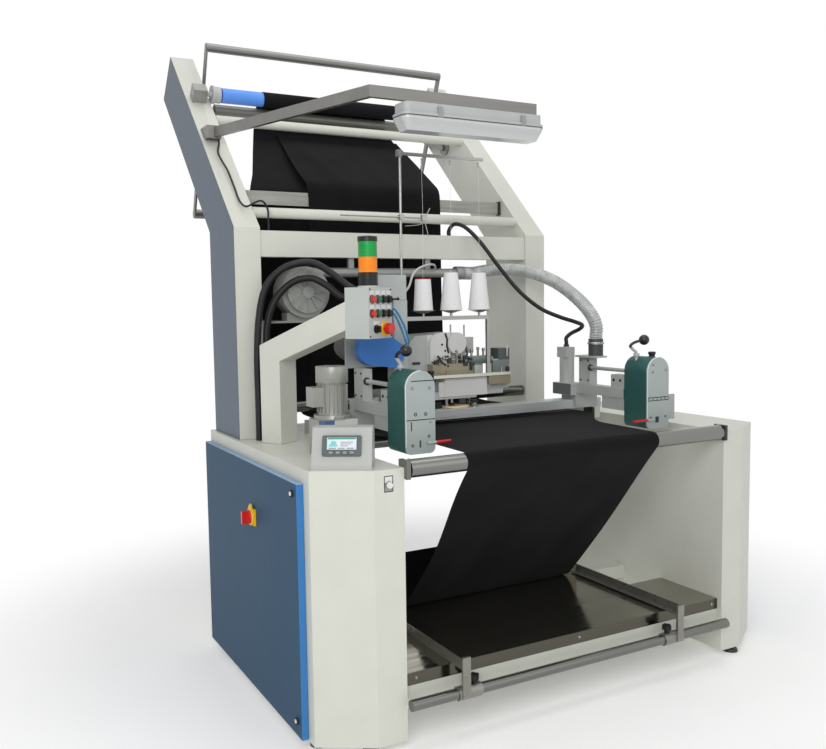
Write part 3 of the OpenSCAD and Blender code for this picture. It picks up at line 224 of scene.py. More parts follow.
def door_zones(n):
    """Bright front return, pale top edge, yellow switch plate and dark locks."""
    outside = (DOOR_FACE - 30, DOOR_FACE - 0.3)

    def around(y, z, half):
        return n.inside(X=outside, Y=(y - half, y + half), Z=(z - half, z + half))

    locks = [(around(LOCK_Y, z, 15), (38, 40, 46)) for z in LOCK_HEIGHTS]
    return locks + [
        (n.inside(Y=(100, 158)), BRIGHT_BLUE),
        (n.inside(Z=(881.5, 900)), (150, 176, 204)),
        (around(SWITCH_Y, SWITCH_Z, 35), YELLOW),
    ]


def guide_zones(n):
    """Only the casting behind the plate is green; the rest is bare metal."""
    return [
        (n.inside(Y=(271, 800)), SILVER),
        (n.inside(Y=(430, 520), Z=(1213.5, 1300)), (70, 73, 74)),
        (n.inside(Y=(600, 720), Z=(1245.5, 1300)), (50, 52, 54)),
        (n.inside(Y=(566, 692), X=(300, 600), Z=(1040, 1088.5)), (104, 109, 109)),
        (n.inside(X=(557.5, 620)), (172, 176, 174)),
    ]


def lever_zones(n):
    """Bare rod under the black ball."""
    return [(n.inside(Z=(1000, 1258)), (186, 188, 186))]


def plate_zones(x0, x1):
    """The pointer rod beside the plate is red."""
    return lambda n: [(n.inside(X=(x0, x1)), (206, 36, 44))]


def head_zones(n):
    """Tall cover, round cover, cast base, puller tube, puller box and its top, apron under the plate."""
    return [
        (n.inside(X=(-232, -134), Y=(645, 692), Z=(1190, 1330)), (220, 221, 218)),
        (n.inside(X=(-150, -60), Y=(655, 690), Z=(1230, 1330)), (216, 216, 213)),
        (n.inside(X=(-232, -48), Y=(649, 690.5), Z=(1142, 1198)), (150, 144, 120)),
        (n.inside(X=(-53, 66), Y=(655, 693), Z=(1186, 1228)), (110, 125, 120)),
        (n.inside(X=(65, 151), Y=(654, 668), Z=(1104, 1203)), (122, 131, 129)),
        (n.inside(X=(93, 151), Y=(654, 716), Z=(1203, 1253)), (84, 90, 88)),
        (n.inside(X=(-219, 14), Y=(618, 630), Z=(1065, 1144)), (220, 219, 217)),
    ]


def lamp_zones(n):
    """Dark gasket under the rim and metal clips."""
    gasket = [(n.inside(Z=(2084, 2089)), (96, 99, 102))]
    clips = [(n.inside(X=(x - 10, x + 10), Y=(240, 252.5)), (150, 152, 150)) for x in (-419.4, -69)]
    return gasket + clips


def block_zones(n):
    """The upper blocks and the front left one are grey."""
    grey = (150, 150, 146)
    front_left = n.inside(X=(-760, -640), Y=(-60, 80))
    return [(n.inside(Z=(2000, 2500)), grey), (front_left, (116, 116, 112))]


def gear_zones(n):
    """Pale gearbox with a blue-grey end."""
    front = n.both(n.inside(Z=(TABLE, TABLE + 126.5)), n.facing("Y", -1))
    return [(front, (196, 199, 194)), (n.both(front, n.inside(X=(-900, -819))), (88, 102, 138))]


def tray_zones(n):
    """The front lip is duller than the polished floor of the tray."""
    return [(n.inside(Y=(0, 20.6)), (92, 90, 80))]


def panel_zones(n):
    """Dark drives in the bottom row, pale relays above them and blue-grey supplies on top."""
    before_board = (-900, -725.5)
    return [
        (n.inside(X=before_board, Z=(225, 415)), (62, 66, 70)),
        (n.inside(X=before_board, Z=(416, 545)), (206, 206, 198)),
        (n.inside(X=before_board, Z=(595, 755)), (96, 112, 122)),
    ]


def take_up_zones(n):
    """Bare metal collars and shaft ends."""
    return [(n.inside(X=ends), (188, 190, 190)) for ends in ((-1100, -836.5), (332, 600))]


def cone_zones(n):
    """One cone has a red top."""
    return [(n.inside(X=(-330, -235), Z=(1539.5, 1545)), (222, 84, 66))]


def spreader_zones(n):
    """Dark end at the right post."""
    return [(n.inside(X=(361, 374)), (52, 54, 54))]


cream = surface("cream_paint", CREAM, 0.45, vary=0.02)
left_cabinet_paint = surface("left_cabinet_paint", CREAM, 0.45, vary=0.02, zones=cabinet_zones, uneven=0.4)
left_post_paint = surface("left_post_paint", CREAM, 0.42, vary=0.02, zones=post_zones(-980, -1), uneven=0.3)
right_post_paint = surface("right_post_paint", CREAM, 0.42, vary=0.02, zones=post_zones(476, 1), uneven=0.3)
right_cabinet_paint = surface(
    "right_cabinet_paint", CREAM, 0.42, vary=0.02, zones=lambda n: [(n.inside(X=(995.2, 1100)), SLATE)]
)
door_paint = surface(
    "door_paint", SLATE, 0.5, vary=0.008, grain=3, zones=door_zones, shine=0.12, uneven=0.15
)
guard_blue = surface("guard_blue", (72, 130, 206), 0.45, vary=0.05, shine=0.2)
roller_blue = surface("roller_blue", (98, 156, 246), 0.38, vary=0.04, zones=take_up_zones)
green_paint = surface("guide_green", (48, 92, 88), 0.45, vary=0.05, zones=guide_zones, shine=0.2)
motor_grey = surface("motor_grey", (152, 154, 150), 0.36, metal=0.3, vary=0.06)
gear_grey = surface("gear_grey", (152, 153, 147), 0.36, metal=0.3, vary=0.06, zones=gear_zones)
pale_grey = surface("pale_grey", (190, 194, 190), 0.45, vary=0.03)
head_grey = surface("head_grey", (186, 189, 186), 0.32, vary=0.03, zones=head_zones, Coat_Weight=0.25)
support_grey = surface("support_grey", (184, 188, 187), 0.4, metal=0.1, vary=0.05)
steel = brushed("brushed_steel", (160, 160, 157), 0.34, metal=0.9, vary=0.08)
bar_steel = brushed("bar_steel", (186, 191, 190), 0.32, metal=0.45, vary=0.06)
arm_steel = brushed("arm_steel", (130, 129, 126), 0.38, metal=0.75, vary=0.07)
tray_steel = polished(
    "tray_steel", (164, 161, 149), 0.14, metal=0.95, vary=0.05, relief=0.015, zones=tray_zones
)
tube_steel = polished("tube_steel", (120, 122, 117), 0.24, metal=0.85, vary=0.05)
chrome = polished("polished_steel", (156, 155, 150), 0.24, metal=0.95, vary=0.04)
roller_steel = polished("roller_steel", (130, 131, 127), 0.22, metal=0.95, vary=0.05)
beige_chrome = polished("plate_chrome", (204, 202, 190), 0.26, metal=0.6, vary=0.04)
dark_steel = surface("dark_steel", (58, 58, 58), 0.4, metal=0.4, vary=0.15)
block_steel = surface("block_steel", (58, 58, 58), 0.4, metal=0.4, vary=0.12, zones=block_zones)
divider_steel = surface("divider_steel", (142, 141, 134), 0.32, metal=0.7, vary=0.08)
black_plastic = surface("black_plastic", BLACK, 0.38, vary=0.15)
lever_finish = surface("lever_finish", BLACK, 0.3, vary=0.1, zones=lever_zones, Coat_Weight=0.3)
hose_black = surface("hose_black", (26, 26, 28), 0.42, vary=0.2)
rubber = surface("press_rubber", (140, 140, 130), 0.4, metal=0.3, vary=0.06, stretch=BRUSH_X)
panel_grey = surface("panel_grey", (176, 180, 178), 0.4, vary=0.03, zones=panel_zones)
bezel_grey = surface("bezel_grey", (84, 91, 91), 0.42, vary=0.06)
lamp_grey = surface("lamp_grey", (180, 183, 181), 0.45, vary=0.03, zones=lamp_zones)
red_plastic = surface("red_plastic", RED, 0.3, vary=0.06, Coat_Weight=0.3)
green_plastic = surface("green_plastic", DARK_GREEN, 0.3, vary=0.06, Coat_Weight=0.3)
yellow_plastic = surface("yellow_plastic", YELLOW, 0.36, vary=0.05, Coat_Weight=0.2)
key_grey = surface("key_grey", (142, 144, 142), 0.4, vary=0.05)
lead_grey = surface("lead_grey", (196, 198, 196), 0.45, vary=0.05)
screen_teal = surface("screen_teal", (58, 142, 118), 0.3, vary=0.06)
screen_cyan = surface("screen_cyan", (122, 192, 198), 0.3, vary=0.1, grain=90)
white_plastic = surface("white_plastic", (226, 227, 223), 0.4, vary=0.03)
thread_white = surface(
    "thread_white", (236, 236, 236), 0.8, vary=0.03, zones=cone_zones, grain=60, peel=(700, 0.25),
    stretch=(1, 1, 8),
)
tube_blue = surface("tube_blue", (74, 164, 216), 0.25, vary=0.05, Coat_Weight=0.3)
khaki = surface("cast_khaki", (148, 142, 118), 0.45, metal=0.2, vary=0.08)
beige = surface("beige_disc", (226, 205, 168), 0.5, vary=0.05, grain=30)
seam_dark = surface("seam_dark", (52, 58, 58), 0.6, vary=0.15)
rim_white = surface("rim_white", (228, 232, 230), 0.35, vary=0.03)
PLATE_GREY = (166, 175, 173)
left_plate_paint = surface(
    "left_plate_paint", PLATE_GREY, 0.38, metal=0.15, vary=0.04, zones=plate_zones(-517.5, -400)
)
right_plate_paint = surface(
    "right_plate_paint", PLATE_GREY, 0.38, metal=0.15, vary=0.04, zones=plate_zones(300, 442.5)
)
clear_plastic = surface(
    "clear_plastic", (164, 165, 158), 0.3, vary=0.16, grain=24, zones=spreader_zones,
    stretch=(0.25, 1, 3),
)


def knit(name):
    """Fine black jersey: rows of small stitches, soft sheen and slow changes of tone."""
    n = Nodes(name)
    n.paint(n.drifting((20, 20, 21), (27, 27, 29), 5, 4.0))
    n.set(Roughness=0.85, Specular_IOR_Level=0.08, Sheen_Weight=0.02, Sheen_Roughness=0.5)
    stitches = 0.0
    for direction, scale in (("X", 90.0), ("Z", 70.0)):
        wave = {"Vector": n.coordinate, "Scale": scale, "Distortion": 0.6}
        rows = n.add("TexWave", wave, bands_direction=direction).outputs["Fac"]
        stitches = n.math("ADD", stitches, rows)
    n.bump(stitches, 0.1, 0.0006)
    return n.material


def ribbed_clear(name):
    """Milky wall of the clear corrugated hose."""
    n = Nodes(name)
    n.paint(n.drifting((168, 172, 170), (206, 210, 207), 30, 3.0))
    n.set(Roughness=0.2, Transmission_Weight=0.2, Coat_Weight=0.4)
    n.bump(n.noise(60, 2.0), 0.1, 0.001)
    return n.material


def lenses(name, base):
    """Stack light: black foot, orange and green lens with upright flutes, black cap."""
    n = Nodes(name)
    black = n.drifting((22, 22, 22), (34, 34, 34), 25)
    orange = n.drifting((246, 130, 14), (252, 150, 26), 25)
    green = n.drifting((6, 140, 60), (14, 162, 74), 25)
    lower = n.mix(n.inside(Z=(base + 47, base + 100)), black, orange)
    n.paint(n.mix(n.inside(Z=(base + 100, base + 154)), lower, green))
    n.set(Roughness=0.24, Specular_IOR_Level=0.3)
    n.bump(n.noise(160, 1.0, (1, 1, 0.02)), 0.3, 0.002)
    return n.material


def ribbed_cover(name):
    """Frosted lamp cover with fine ribs along it."""
    n = Nodes(name)
    n.paint(n.drifting((188, 191, 191), (208, 210, 210), 12, stretch=BRUSH_X))
    n.set(Roughness=0.2, Coat_Weight=0.4)
    n.bump(n.noise(220, 1.0, (0.01, 1, 1)), 0.25, 0.001)
    return n.material


def lit_screen(name, left, right_end):
    """A screen that goes from a green tint on the left to a pale one, with its own faint light."""
    n = Nodes(name)
    cloud = n.spread(n.noise(60, 2.0), -0.12, 0.12)
    blend = n.math("ADD", n.along("X", left, right_end), cloud)
    tint = n.mix(blend, shade((150, 204, 190)), shade((186, 194, 206)))
    n.paint(tint)
    n.put(tint, n.shader.inputs["Emission Color"])
    n.set(Emission_Strength=0.2, Roughness=0.12)
    return n.material


cloth_black = knit("black_jersey")
hose_clear = ribbed_clear("clear_hose")
stack_glass = lenses("stack_lenses", TABLE + 580)
diffuser = ribbed_cover("lamp_cover")
screen_glass = lit_screen("screen_glass", -950, -890)

FINISH = [
    (left_cabinet_paint, "left_cabinet"), (right_cabinet_paint, "right_cabinet"),
    (dark_steel, "levelling_feet"), (panel_grey, "electrics_panel"), (left_post_paint, "left_post"),
    (right_post_paint, "right_post"), (cream, "cross_members frame_beams control_arm"),
    (bar_steel, "table_bar"), (tray_steel, "tray"), (tube_steel, "chrome_tubes"),
    (block_steel, "bearing_blocks"), (clear_plastic, "spreader_bar"),
    (arm_steel, "lamp_arm dancer_frame"), (lamp_grey, "lamp_housing"), (diffuser, "lamp_diffuser"),
    (pale_grey, "control_box"), (stack_glass, "stack_light"), (bezel_grey, "hmi_panel"),
    (support_grey, "head_support"), (head_grey, "sewing_head"), (beige_chrome, "cloth_plate"),
    (steel, "thread_stand"), (thread_white, "thread_cones"), (motor_grey, "sewing_motor blower"),
    (guard_blue, "belt_guard"), (gear_grey, "gear_motor"),
    (hose_black, "lamp_cable cable_conduit outer_conduit inner_conduit"), (door_paint, "left_door"),
    (red_plastic, "main_switch estop_button red_button"), (white_plastic, "start_button"),
    (green_plastic, "green_button"),
    (black_plastic, "mode_selector left_clamp_knob right_clamp_knob handwheel"),
    (roller_steel, "front_roller feed_roller"), (roller_blue, "take_up_roller"), (rubber, "press_roller"),
    (green_paint, "left_guide right_guide"), (left_plate_paint, "left_guide_plate"),
    (lever_finish, "left_lever right_lever"), (right_plate_paint, "right_guide_plate"),
    (divider_steel, "left_divider right_divider"), (cloth_black, "upper_fabric lower_fabric"),
    (hose_clear, "suction_hose"), (tube_blue, "air_tube"),
]
for finish, names in FINISH:
    for name in names.split():
        nodes[name].data.materials.clear()
        nodes[name].data.materials.append(finish)

# Shapes for the pieces that the solids leave out

FRONT = Vector((0, -1, 0))
TOP = Vector((0, 0, 1))
LEFT = Vector((-1, 0, 0))
RIGHT = Vector((1, 0, 0))


def directions(line):
    """The way along a line at each of its points."""
    last = len(line) - 1
    return [(line[min(i + 1, last)] - line[max(i - 1, 0)]).normalized() for i in range(len(line))]


def round_edges(piece, width):
    edge = piece.modifiers.new("edge", "BEVEL")
    edge.width = width / 1000
    edge.segments = 2
    edge.limit_method = "ANGLE"
    edge.angle_limit = math.radians(40)
    return edge


class Shape:
    """Gathers faces in millimetres, then makes one object of them."""

    def __init__(self, matrix=None):
        self.points, self.faces = [], []
        self.matrix = matrix or Matrix.Identity(4)

    def add(self, points, faces):
        first = len(self.points)
        self.points += [self.matrix @ Vector(p) for p in points]
        self.faces += [[first + i for i in face] for face in faces]

    def box(self, low, high):
        xs, ys, zs = zip(low, high)
        corners = [(x, y, z) for z in zs for y in ys for x in xs]
        self.add(
            corners, [(0, 2, 3, 1), (4, 5, 7, 6), (0, 1, 5, 4), (2, 6, 7, 3), (0, 4, 6, 2), (1, 3, 7, 5)]
        )

    def turned(self, profile, centre, axis, steps=24, closed=False):
        """Revolves (radius, height) pairs about an axis through centre; closed makes a ring of them."""
        spin = Vector((0, 0, 1)).rotation_difference(Vector(axis)).to_matrix().to_4x4()
        place = Matrix.Translation(Vector(centre)) @ spin
        points, faces = [], []
        for radius, height in profile:
            for k in range(steps):
                a = 2 * math.pi * k / steps
                points.append(place @ Vector((radius * math.cos(a), radius * math.sin(a), height)))
        count = len(profile)
        for i in range(count if closed else count - 1):
            for k in range(steps):
                j = (i + 1) % count
                a, b = k, (k + 1) % steps
                faces.append((i * steps + a, i * steps + b, j * steps + b, j * steps + a))
        if not closed:
            last = (count - 1) * steps
            faces.append(tuple(reversed(range(steps))))
            faces.append(tuple(range(last, last + steps)))
        self.add(points, faces)

    def screw(self, centre, axis, diameter, height):
        """A pan head with a socket in it."""
        r = diameter / 2
        self.turned(
            [(r, -1), (r, height * 0.5), (r * 0.8, height), (r * 0.45, height), (r * 0.4, height * 0.4)],
            centre, axis, 16,
        )

    def ring(self, inner, outer, height, centre, axis):
        rim = outer - 0.3 * height
        profile = [(inner, 0), (outer, 0), (outer, height * 0.7), (rim, height), (inner, height)]
        self.turned(profile, centre, axis, 32, closed=True)

    def tube(self, line, radius, sides=12):
        """A tube along points; radius is a number or one number for each point."""
        radii = radius if isinstance(radius, list) else [radius] * len(line)
        line = [Vector(p) for p in line]
        ahead = directions(line)
        side = ahead[0].orthogonal().normalized()
        points, faces = [], []
        for i, centre in enumerate(line):
            side = (side - ahead[i] * side.dot(ahead[i])).normalized()
            other = ahead[i].cross(side)
            for k in range(sides):
                a = 2 * math.pi * k / sides
                points.append(centre + radii[i] * (side * math.cos(a) + other * math.sin(a)))
        for i in range(len(line) - 1):
            for k in range(sides):
                a, b = i * sides + k, i * sides + (k + 1) % sides
                faces.append((a, b, b + sides, a + sides))
        last = (len(line) - 1) * sides
        faces.append(tuple(reversed(range(sides))))
        faces.append(tuple(range(last, last + sides)))
        self.add(points, faces)

    def done(self, name, material, body="frame", edge=0.0, sharp=35):
        mesh = bpy.data.meshes.new(name)
        mesh.from_pydata([metres(p) for p in self.points], [], self.faces)
        mesh.validate()
        mesh.shade_smooth()
        mesh.set_sharp_from_angle(angle=math.radians(sharp))
        mesh.materials.append(material)
        piece = add_object(name, mesh)
        if edge:
            round_edges(piece, edge)
        if body:
            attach(piece, body)
        return piece


# Sheet-metal and cast nodes get small rounded edges
SOFT_EDGES = {
    "left_cabinet": 2.5, "right_cabinet": 2.5, "left_post": 3, "right_post": 3, "cross_members": 2,
    "control_arm": 3, "control_box": 3, "left_door": 2, "table_bar": 1.5, "lamp_arm": 1.5,
    "head_support": 1.5, "sewing_head": 3, "belt_guard": 2, "gear_motor": 1.5, "blower": 1.5,
    "left_guide": 2, "right_guide": 2, "left_guide_plate": 1, "right_guide_plate": 1, "frame_beams": 1.5,
    "tray": 0.6, "cloth_plate": 1, "hmi_panel": 1, "bearing_blocks": 1, "main_switch": 1.5,
}
for name, width in SOFT_EDGES.items():
    weld = nodes[name].modifiers.new("weld", "WELD")
    weld.merge_threshold = 0.00005
    round_edges(nodes[name], width).harden_normals = True


def smooth_line(route, steps):
    """A smooth curve through route points, the same one as the solids follow."""
    route = [Vector(p) for p in route]
    line = []
    for i in range(len(route) - 1):
        a, b, c, d = route[max(i - 1, 0)], route[i], route[i + 1], route[min(i + 2, len(route) - 1)]
        bend, twist = 2 * a - 5 * b + 4 * c - d, 3 * (b - c) + d - a
        for k in range(steps):
            t = k / steps
            line.append(b + 0.5 * t * ((c - a) + t * (bend + t * twist)))
    return line + [route[-1]]


def spaced(line, gap):
    """The same line with points an even gap apart."""
    out, left = [line[0]], gap
    for a, b in zip(line, line[1:]):
        step = (b - a).length
        while left <= step:
            out.append(a + (b - a) * (left / step))
            left += gap
        left -= step
    if (out[-1] - line[-1]).length > gap / 3:
        out.append(line[-1])
    else:
        out[-1] = line[-1]
    return out


# Camera at the photograph's place

CAMERA = (-1.97880, -3.32965, 1.44984)
YAW, PITCH, ROLL = math.radians(28.763), math.radians(-4.692), math.radians(-0.799)

forward = Vector((math.sin(YAW) * math.cos(PITCH), math.cos(YAW) * math.cos(PITCH), math.sin(PITCH)))
right = Vector((math.cos(YAW), -math.sin(YAW), 0))
up = right.cross(forward)
right_turned = right * math.cos(ROLL) + up * math.sin(ROLL)
up_turned = up * math.cos(ROLL) - right * math.sin(ROLL)

lens = bpy.data.cameras.new("camera")
lens.lens = 38.317
lens.sensor_width = 36
lens.clip_end = 100
camera = add_object("camera", lens)
camera.matrix_world = Matrix.Translation(CAMERA) @ Matrix(
    (right_turned, up_turned, -forward)
).transposed().to_4x4()
bpy.context.scene.camera = camera

# Cords: the routes are those of the solids

HOSE = [
    (60, 880, 1575), (115, 880, 1575), (185, 864, 1586), (262, 818, 1590), (335, 745, 1573),
    (395, 660, 1531), (435, 582, 1472), (457, 512, 1408), (470, 476, 1345), (470, 476, 1285),
]
CONDUIT = [
    (5, 900, 1734), (5, 900, 1760), (18, 876, 1786), (50, 838, 1770), (96, 790, 1704), (152, 736, 1600),
    (220, 684, 1494), (300, 640, 1418), (380, 604, 1378), (448, 586, 1356), (498, 598, 1340),
    (512, 634, 1322), (490, 662, 1304), (463, 664, 1284), (460, 660, 1266), (460, 660, 1255),
]
OUTER = [
    (-915, 800, 930), (-915, 800, 1080), (-915, 800, 1250), (-905, 798, 1400), (-880, 790, 1510),
    (-830, 775, 1574), (-765, 755, 1604), (-700, 735, 1604), (-640, 705, 1565), (-590, 665, 1515),
    (-545, 640, 1490), (-500, 640, 1490),
]
INNER = [
    (-875, 812, 930), (-875, 812, 1080), (-875, 810, 1250), (-870, 806, 1370), (-840, 795, 1465),
    (-780, 775, 1530), (-715, 745, 1548), (-660, 715, 1520), (-610, 688, 1474), (-552, 674, 1470),
    (-500, 674, 1470),
]
AIR_LOW = [
    (-585.5, 410.5, 1420), (-559.3, 425, 1420), (-500, 465, 1410), (-440, 520, 1350), (-395, 565, 1290),
    (-392, 584, 1270), (-392, 600, 1270),
]
AIR_HIGH = [
    (-585.5, 410.5, 1436), (-559.3, 425, 1436), (-496, 467, 1426), (-428, 524, 1366), (-384, 568, 1306),
    (-378, 584, 1286), (-378, 600, 1286),
]
LAMP_CABLE = [
    (-915, 1212, 2135), (-915, 1212, 2114), (-934, 1165, 2072), (-930, 1120, 2028), (-923, 1078, 1988),
    (-922, 1005, 1917), (-922, 938, 1852), (-908, 900, 1828), (-880, 885, 1842), (-850, 885, 1850),
    (-828, 885, 1822), (-826, 885, 1780), (-826, 885, 1734),
]
JUNCTION_LEAD = [
    (-375, 645, 1486), (-358, 646, 1489), (-330, 655, 1515), (-306, 670, 1557), (-261, 710, 1583),
    (-198, 760, 1600), (-135, 810, 1608), (-100, 846, 1603), (-84, 872, 1588),
]


def cord_piece(
    name, route, diameter, node, material, pitch=0.0, depth=0.0, moves_with=None,
):
    """A cord that leaves the machine and goes back into it; pitch and depth give it ribs."""
    line = spaced(smooth_line(route, 8), pitch / 4 if pitch else 8.0)
    wave = (0.0, 0.6, 1.0, 0.6)
    radii = [diameter / 2 - depth + depth * wave[i % 4] for i in range(len(line))]
    shape = Shape()
    shape.tube(line, radii, 20 if diameter > 40 else 14)
    piece = shape.done(name, material, None if moves_with else "frame", sharp=80)
    if node:
        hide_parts(node)
    if moves_with:
        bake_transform(piece)


cord_piece("suction_hose_tube", HOSE, 58, "suction_hose", hose_clear, 11, 3.5, moves_with="right_guide")
cord_piece("cable_conduit_tube", CONDUIT, 18, "cable_conduit", hose_black, 6, 0.8, "right_guide")
cord_piece("outer_conduit_tube", OUTER, 28, "outer_conduit", hose_black, 7, 1.2)
cord_piece("inner_conduit_tube", INNER, 28, "inner_conduit", hose_black, 7, 1.2)
cord_piece("air_tube_low", AIR_LOW, 8, "air_tube", tube_blue)
cord_piece("air_tube_high", AIR_HIGH, 8, "air_tube", tube_blue)
cord_piece("lamp_cable_line", LAMP_CABLE, 8, "lamp_cable", hose_black)
cord_piece("junction_lead", JUNCTION_LEAD, 9, None, lead_grey)

# Cloth


def ease(t):
    t = min(1.0, max(0.0, t))
    return t * t * (3 - 2 * t)


def read_off(table, key):
    """Linear reading between (key, value) pairs."""
    for (k0, v0), (k1, v1) in zip(table, table[1:]):
        if key <= k1:
            return v0 + (v1 - v0) * max(0.0, (key - k0) / (k1 - k0))
    return table[-1][1]


def arc(centre, radius, start, stop, steps=40):
    """Points (y, z) on an arc, angles in degrees from the Y axis."""
    out = []
    for k in range(steps + 1):
        a = math.radians(start + (stop - start) * k / steps)
        out.append((centre[0] + radius * math.cos(a), centre[1] + radius * math.sin(a)))
    return out


def eased(points, cut):
    """The same (y, z) line with its sharp corners cut by short curves."""
    line = [Vector((0, *p)) for p in points]
    out = [line[0]]
    for a, b, c in zip(line, line[1:], line[2:]):
        before, after = b - a, c - b
        if before.angle(after) < math.radians(9):
            out.append(b)
            continue
        reach = min(cut, before.length / 2, after.length / 2)
        start, stop = b - before.normalized() * reach, b + after.normalized() * reach
        out += [start.lerp(b, t).lerp(b.lerp(stop, t), t) for t in (0, 0.25, 0.5, 0.75, 1)]
    return out + [line[-1]]


def cloth_piece(name, points, edges, ripple, replaced=(), cut=30, gap=10, columns=72):
    """A sheet along a (y, z) line. edges(y, z) gives its two X edges, ripple(x, y, z) its offset."""
    line = spaced(eased(points, cut), gap)
    rows, faces = [], []
    for p, ahead in zip(line, directions(line)):
        normal = Vector((0, ahead.z, -ahead.y))
        left, right_edge = edges(p.y, p.z)
        for j in range(columns + 1):
            x = left + (right_edge - left) * j / columns
            rows.append(Vector((x, p.y, p.z)) + normal * ripple(x, p.y, p.z))
    for i in range(len(line) - 1):
        for j in range(columns):
            a = i * (columns + 1) + j
            faces.append((a, a + 1, a + columns + 2, a + columns + 1))
    shape = Shape()
    shape.add(rows, faces)
    piece = shape.done(name, cloth_black, sharp=180)
    widest = max(b - a for a, b in (edges(p.y, p.z) for p in line))
    if replaced:
        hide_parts(*replaced)


def lower_edges(y, z):
    """Full width at the feed roller, narrower over the front roller, narrower again on the tray."""
    if z > 955:
        t = ease((580 - y) / 290)
        return -613 + 125 * t, 508 - 158 * t
    t = ease((924 - z) / 474)
    return -488 + 58 * t, 350 + 35 * t


def lower_ripple(x, y, z):
    fall = ease((860 - z) / 300) * ease((z - 262) / 120)
    waves = math.sin(x / 62 + z / 210) + 0.6 * math.sin(x / 31 - z / 160 + 1.3)
    flat = 0.5 * math.sin(x / 95 + y / 120) if z > 955 else 0.0
    return 2.6 * fall * waves + flat


FEED_TOP = 961.5
cloth_piece(
    "lower_cloth",
    [(666, FEED_TOP), (600, FEED_TOP)] + arc((10, 923), 32.5, 90, 220)
    + [(560, 250.5), (634.5, 250.5), (634.5, 448)],
    lower_edges, lower_ripple, ["lower_fabric"],
)

# Roller centres, and the slopes of the cloth up to the first and on to the second
PRESS, TAKE_UP = (1518.6, 2318.8), (1439.5, 2366.1)
rise = math.degrees(math.atan2(PRESS[1] - 1915, PRESS[0] + 27.5 - 1055.5))
over = math.degrees(math.atan2(TAKE_UP[1] - PRESS[1], TAKE_UP[0] - PRESS[0]))
LEFT_LOW = [(668, -613), (800, -650), (920, -690), (1035, -690)]
LEFT_BY_Z = [
    (1126, -690), (1285, -800), (1394, -850), (1634, -856), (1870, -856), (1936, -828), (1991, -795),
    (2118, -736), (2233, -681), (2306, -643),
]


def back_edges(y, z):
    if y < 1035:
        t = (y - 668) / 367
        return read_off(LEFT_LOW, y), 508 - 453 * t
    return read_off(LEFT_BY_Z, z), read_off([(1855, 55), (2306, 21)], z)


def back_ripple(x, y, z):
    free = ease((z - 1160) / 120) * ease((2280 - z) / 90)
    return 2.4 * free * (1.5 + math.sin(x / 74 + z / 240) + 0.5 * math.sin(x / 37 - z / 130))


cloth_piece(
    "upper_cloth_back",
    [(668, FEED_TOP), (920, 999.5), (1023.5, 1053.5), (1055.5, 1126.5), (1055.5, 1915)]
    + arc(PRESS, 27.5, rise - 96, over - 94, 30) + arc(TAKE_UP, 34.5, over - 90, over + 200, 60),
    back_edges, back_ripple,
    ["upper_fabric"],
)


def front_edges(y, z):
    t = (z - 1126) / 1094
    bow = 14 * math.sin(math.pi * ease((z - 1850) / 370))
    return -605 + 20 * t - bow, 55 - 19 * t


def front_ripple(x, y, z):
    free = ease((z - 1140) / 160) * ease((2200 - z) / 120)
    fold = math.exp(-(((x + 470 + (z - 2050) * 0.45) / 42) ** 2))
    return -free * (3.4 + 2.2 * math.sin(x / 66 - z / 170) + 1.2 * math.sin(x / 29 + z / 95) + 7 * fold)


cloth_piece(
    "upper_cloth_front", [(1055.5, 1128), (1042.5, 1226.5), (1042.5, 1946), (1439, 2222)],
    front_edges, front_ripple,
)

# Screen console: X and Y lie in the screen, Z stands out of it

CONSOLE_TURN, CONSOLE_TILT = math.radians(-31.83), math.radians(67.67)
CONSOLE = (
    Matrix.Translation((-908, 54, TABLE)) @ Matrix.Rotation(CONSOLE_TURN, 4, "Z")
    @ Matrix.Translation((0, 6, 18)) @ Matrix.Rotation(CONSOLE_TILT, 4, "X")
    @ Matrix.Translation((0, 60.54, 0.02))
)
GLASS = 6.5
BEZEL = 11.0


def on_screen(name, fields, material):
    """Flat fields (x0, y0, x1, y1) printed on the glass."""
    printed = Shape(CONSOLE)
    for x0, y0, x1, y1 in fields:
        printed.box((x0, y0, GLASS), (x1, y1, GLASS + 0.2))
    printed.done(name, material, edge=0.05)


screen = Shape(CONSOLE)
screen.box((-46.5, -12.5, GLASS - 0.45), (46.5, 26.5, GLASS))
screen.done("screen_glass_pane", screen_glass, edge=0.2)

on_screen("screen_title", [(-44, 20.5, 44, 25.5)], screen_teal)
on_screen("screen_picture", [(-40, -3, -14, 5), (-34, 5, -18, 14)], screen_cyan)
bottom_bars = [(-40 + k * 28, -10, -18 + k * 28, -6.5) for k in range(3)]
side_bars = [(-4, -2 + k * 6, -4 + width, 0.6 + k * 6) for k, width in enumerate((24, 34, 40))]
on_screen("screen_bars", bottom_bars + side_bars, key_grey)

keys = Shape(CONSOLE)
for k in range(4):
    x = (k - 1.5) * 22
    keys.box((x - 6, -27, BEZEL - 0.1), (x + 6, -19, BEZEL + 0.8))
keys.done("screen_keys", key_grey, edge=0.5)

# Start button plate, thin enough for the pressed button, door switch and locks

START_X, START_Z = -771, TABLE - 49


def start_field(plate, half, low, high, front, back):
    """A flat field round the start button, its heights counted from the button's middle."""
    plate.box((START_X - half, front, START_Z + low), (START_X + half, back, START_Z + high))


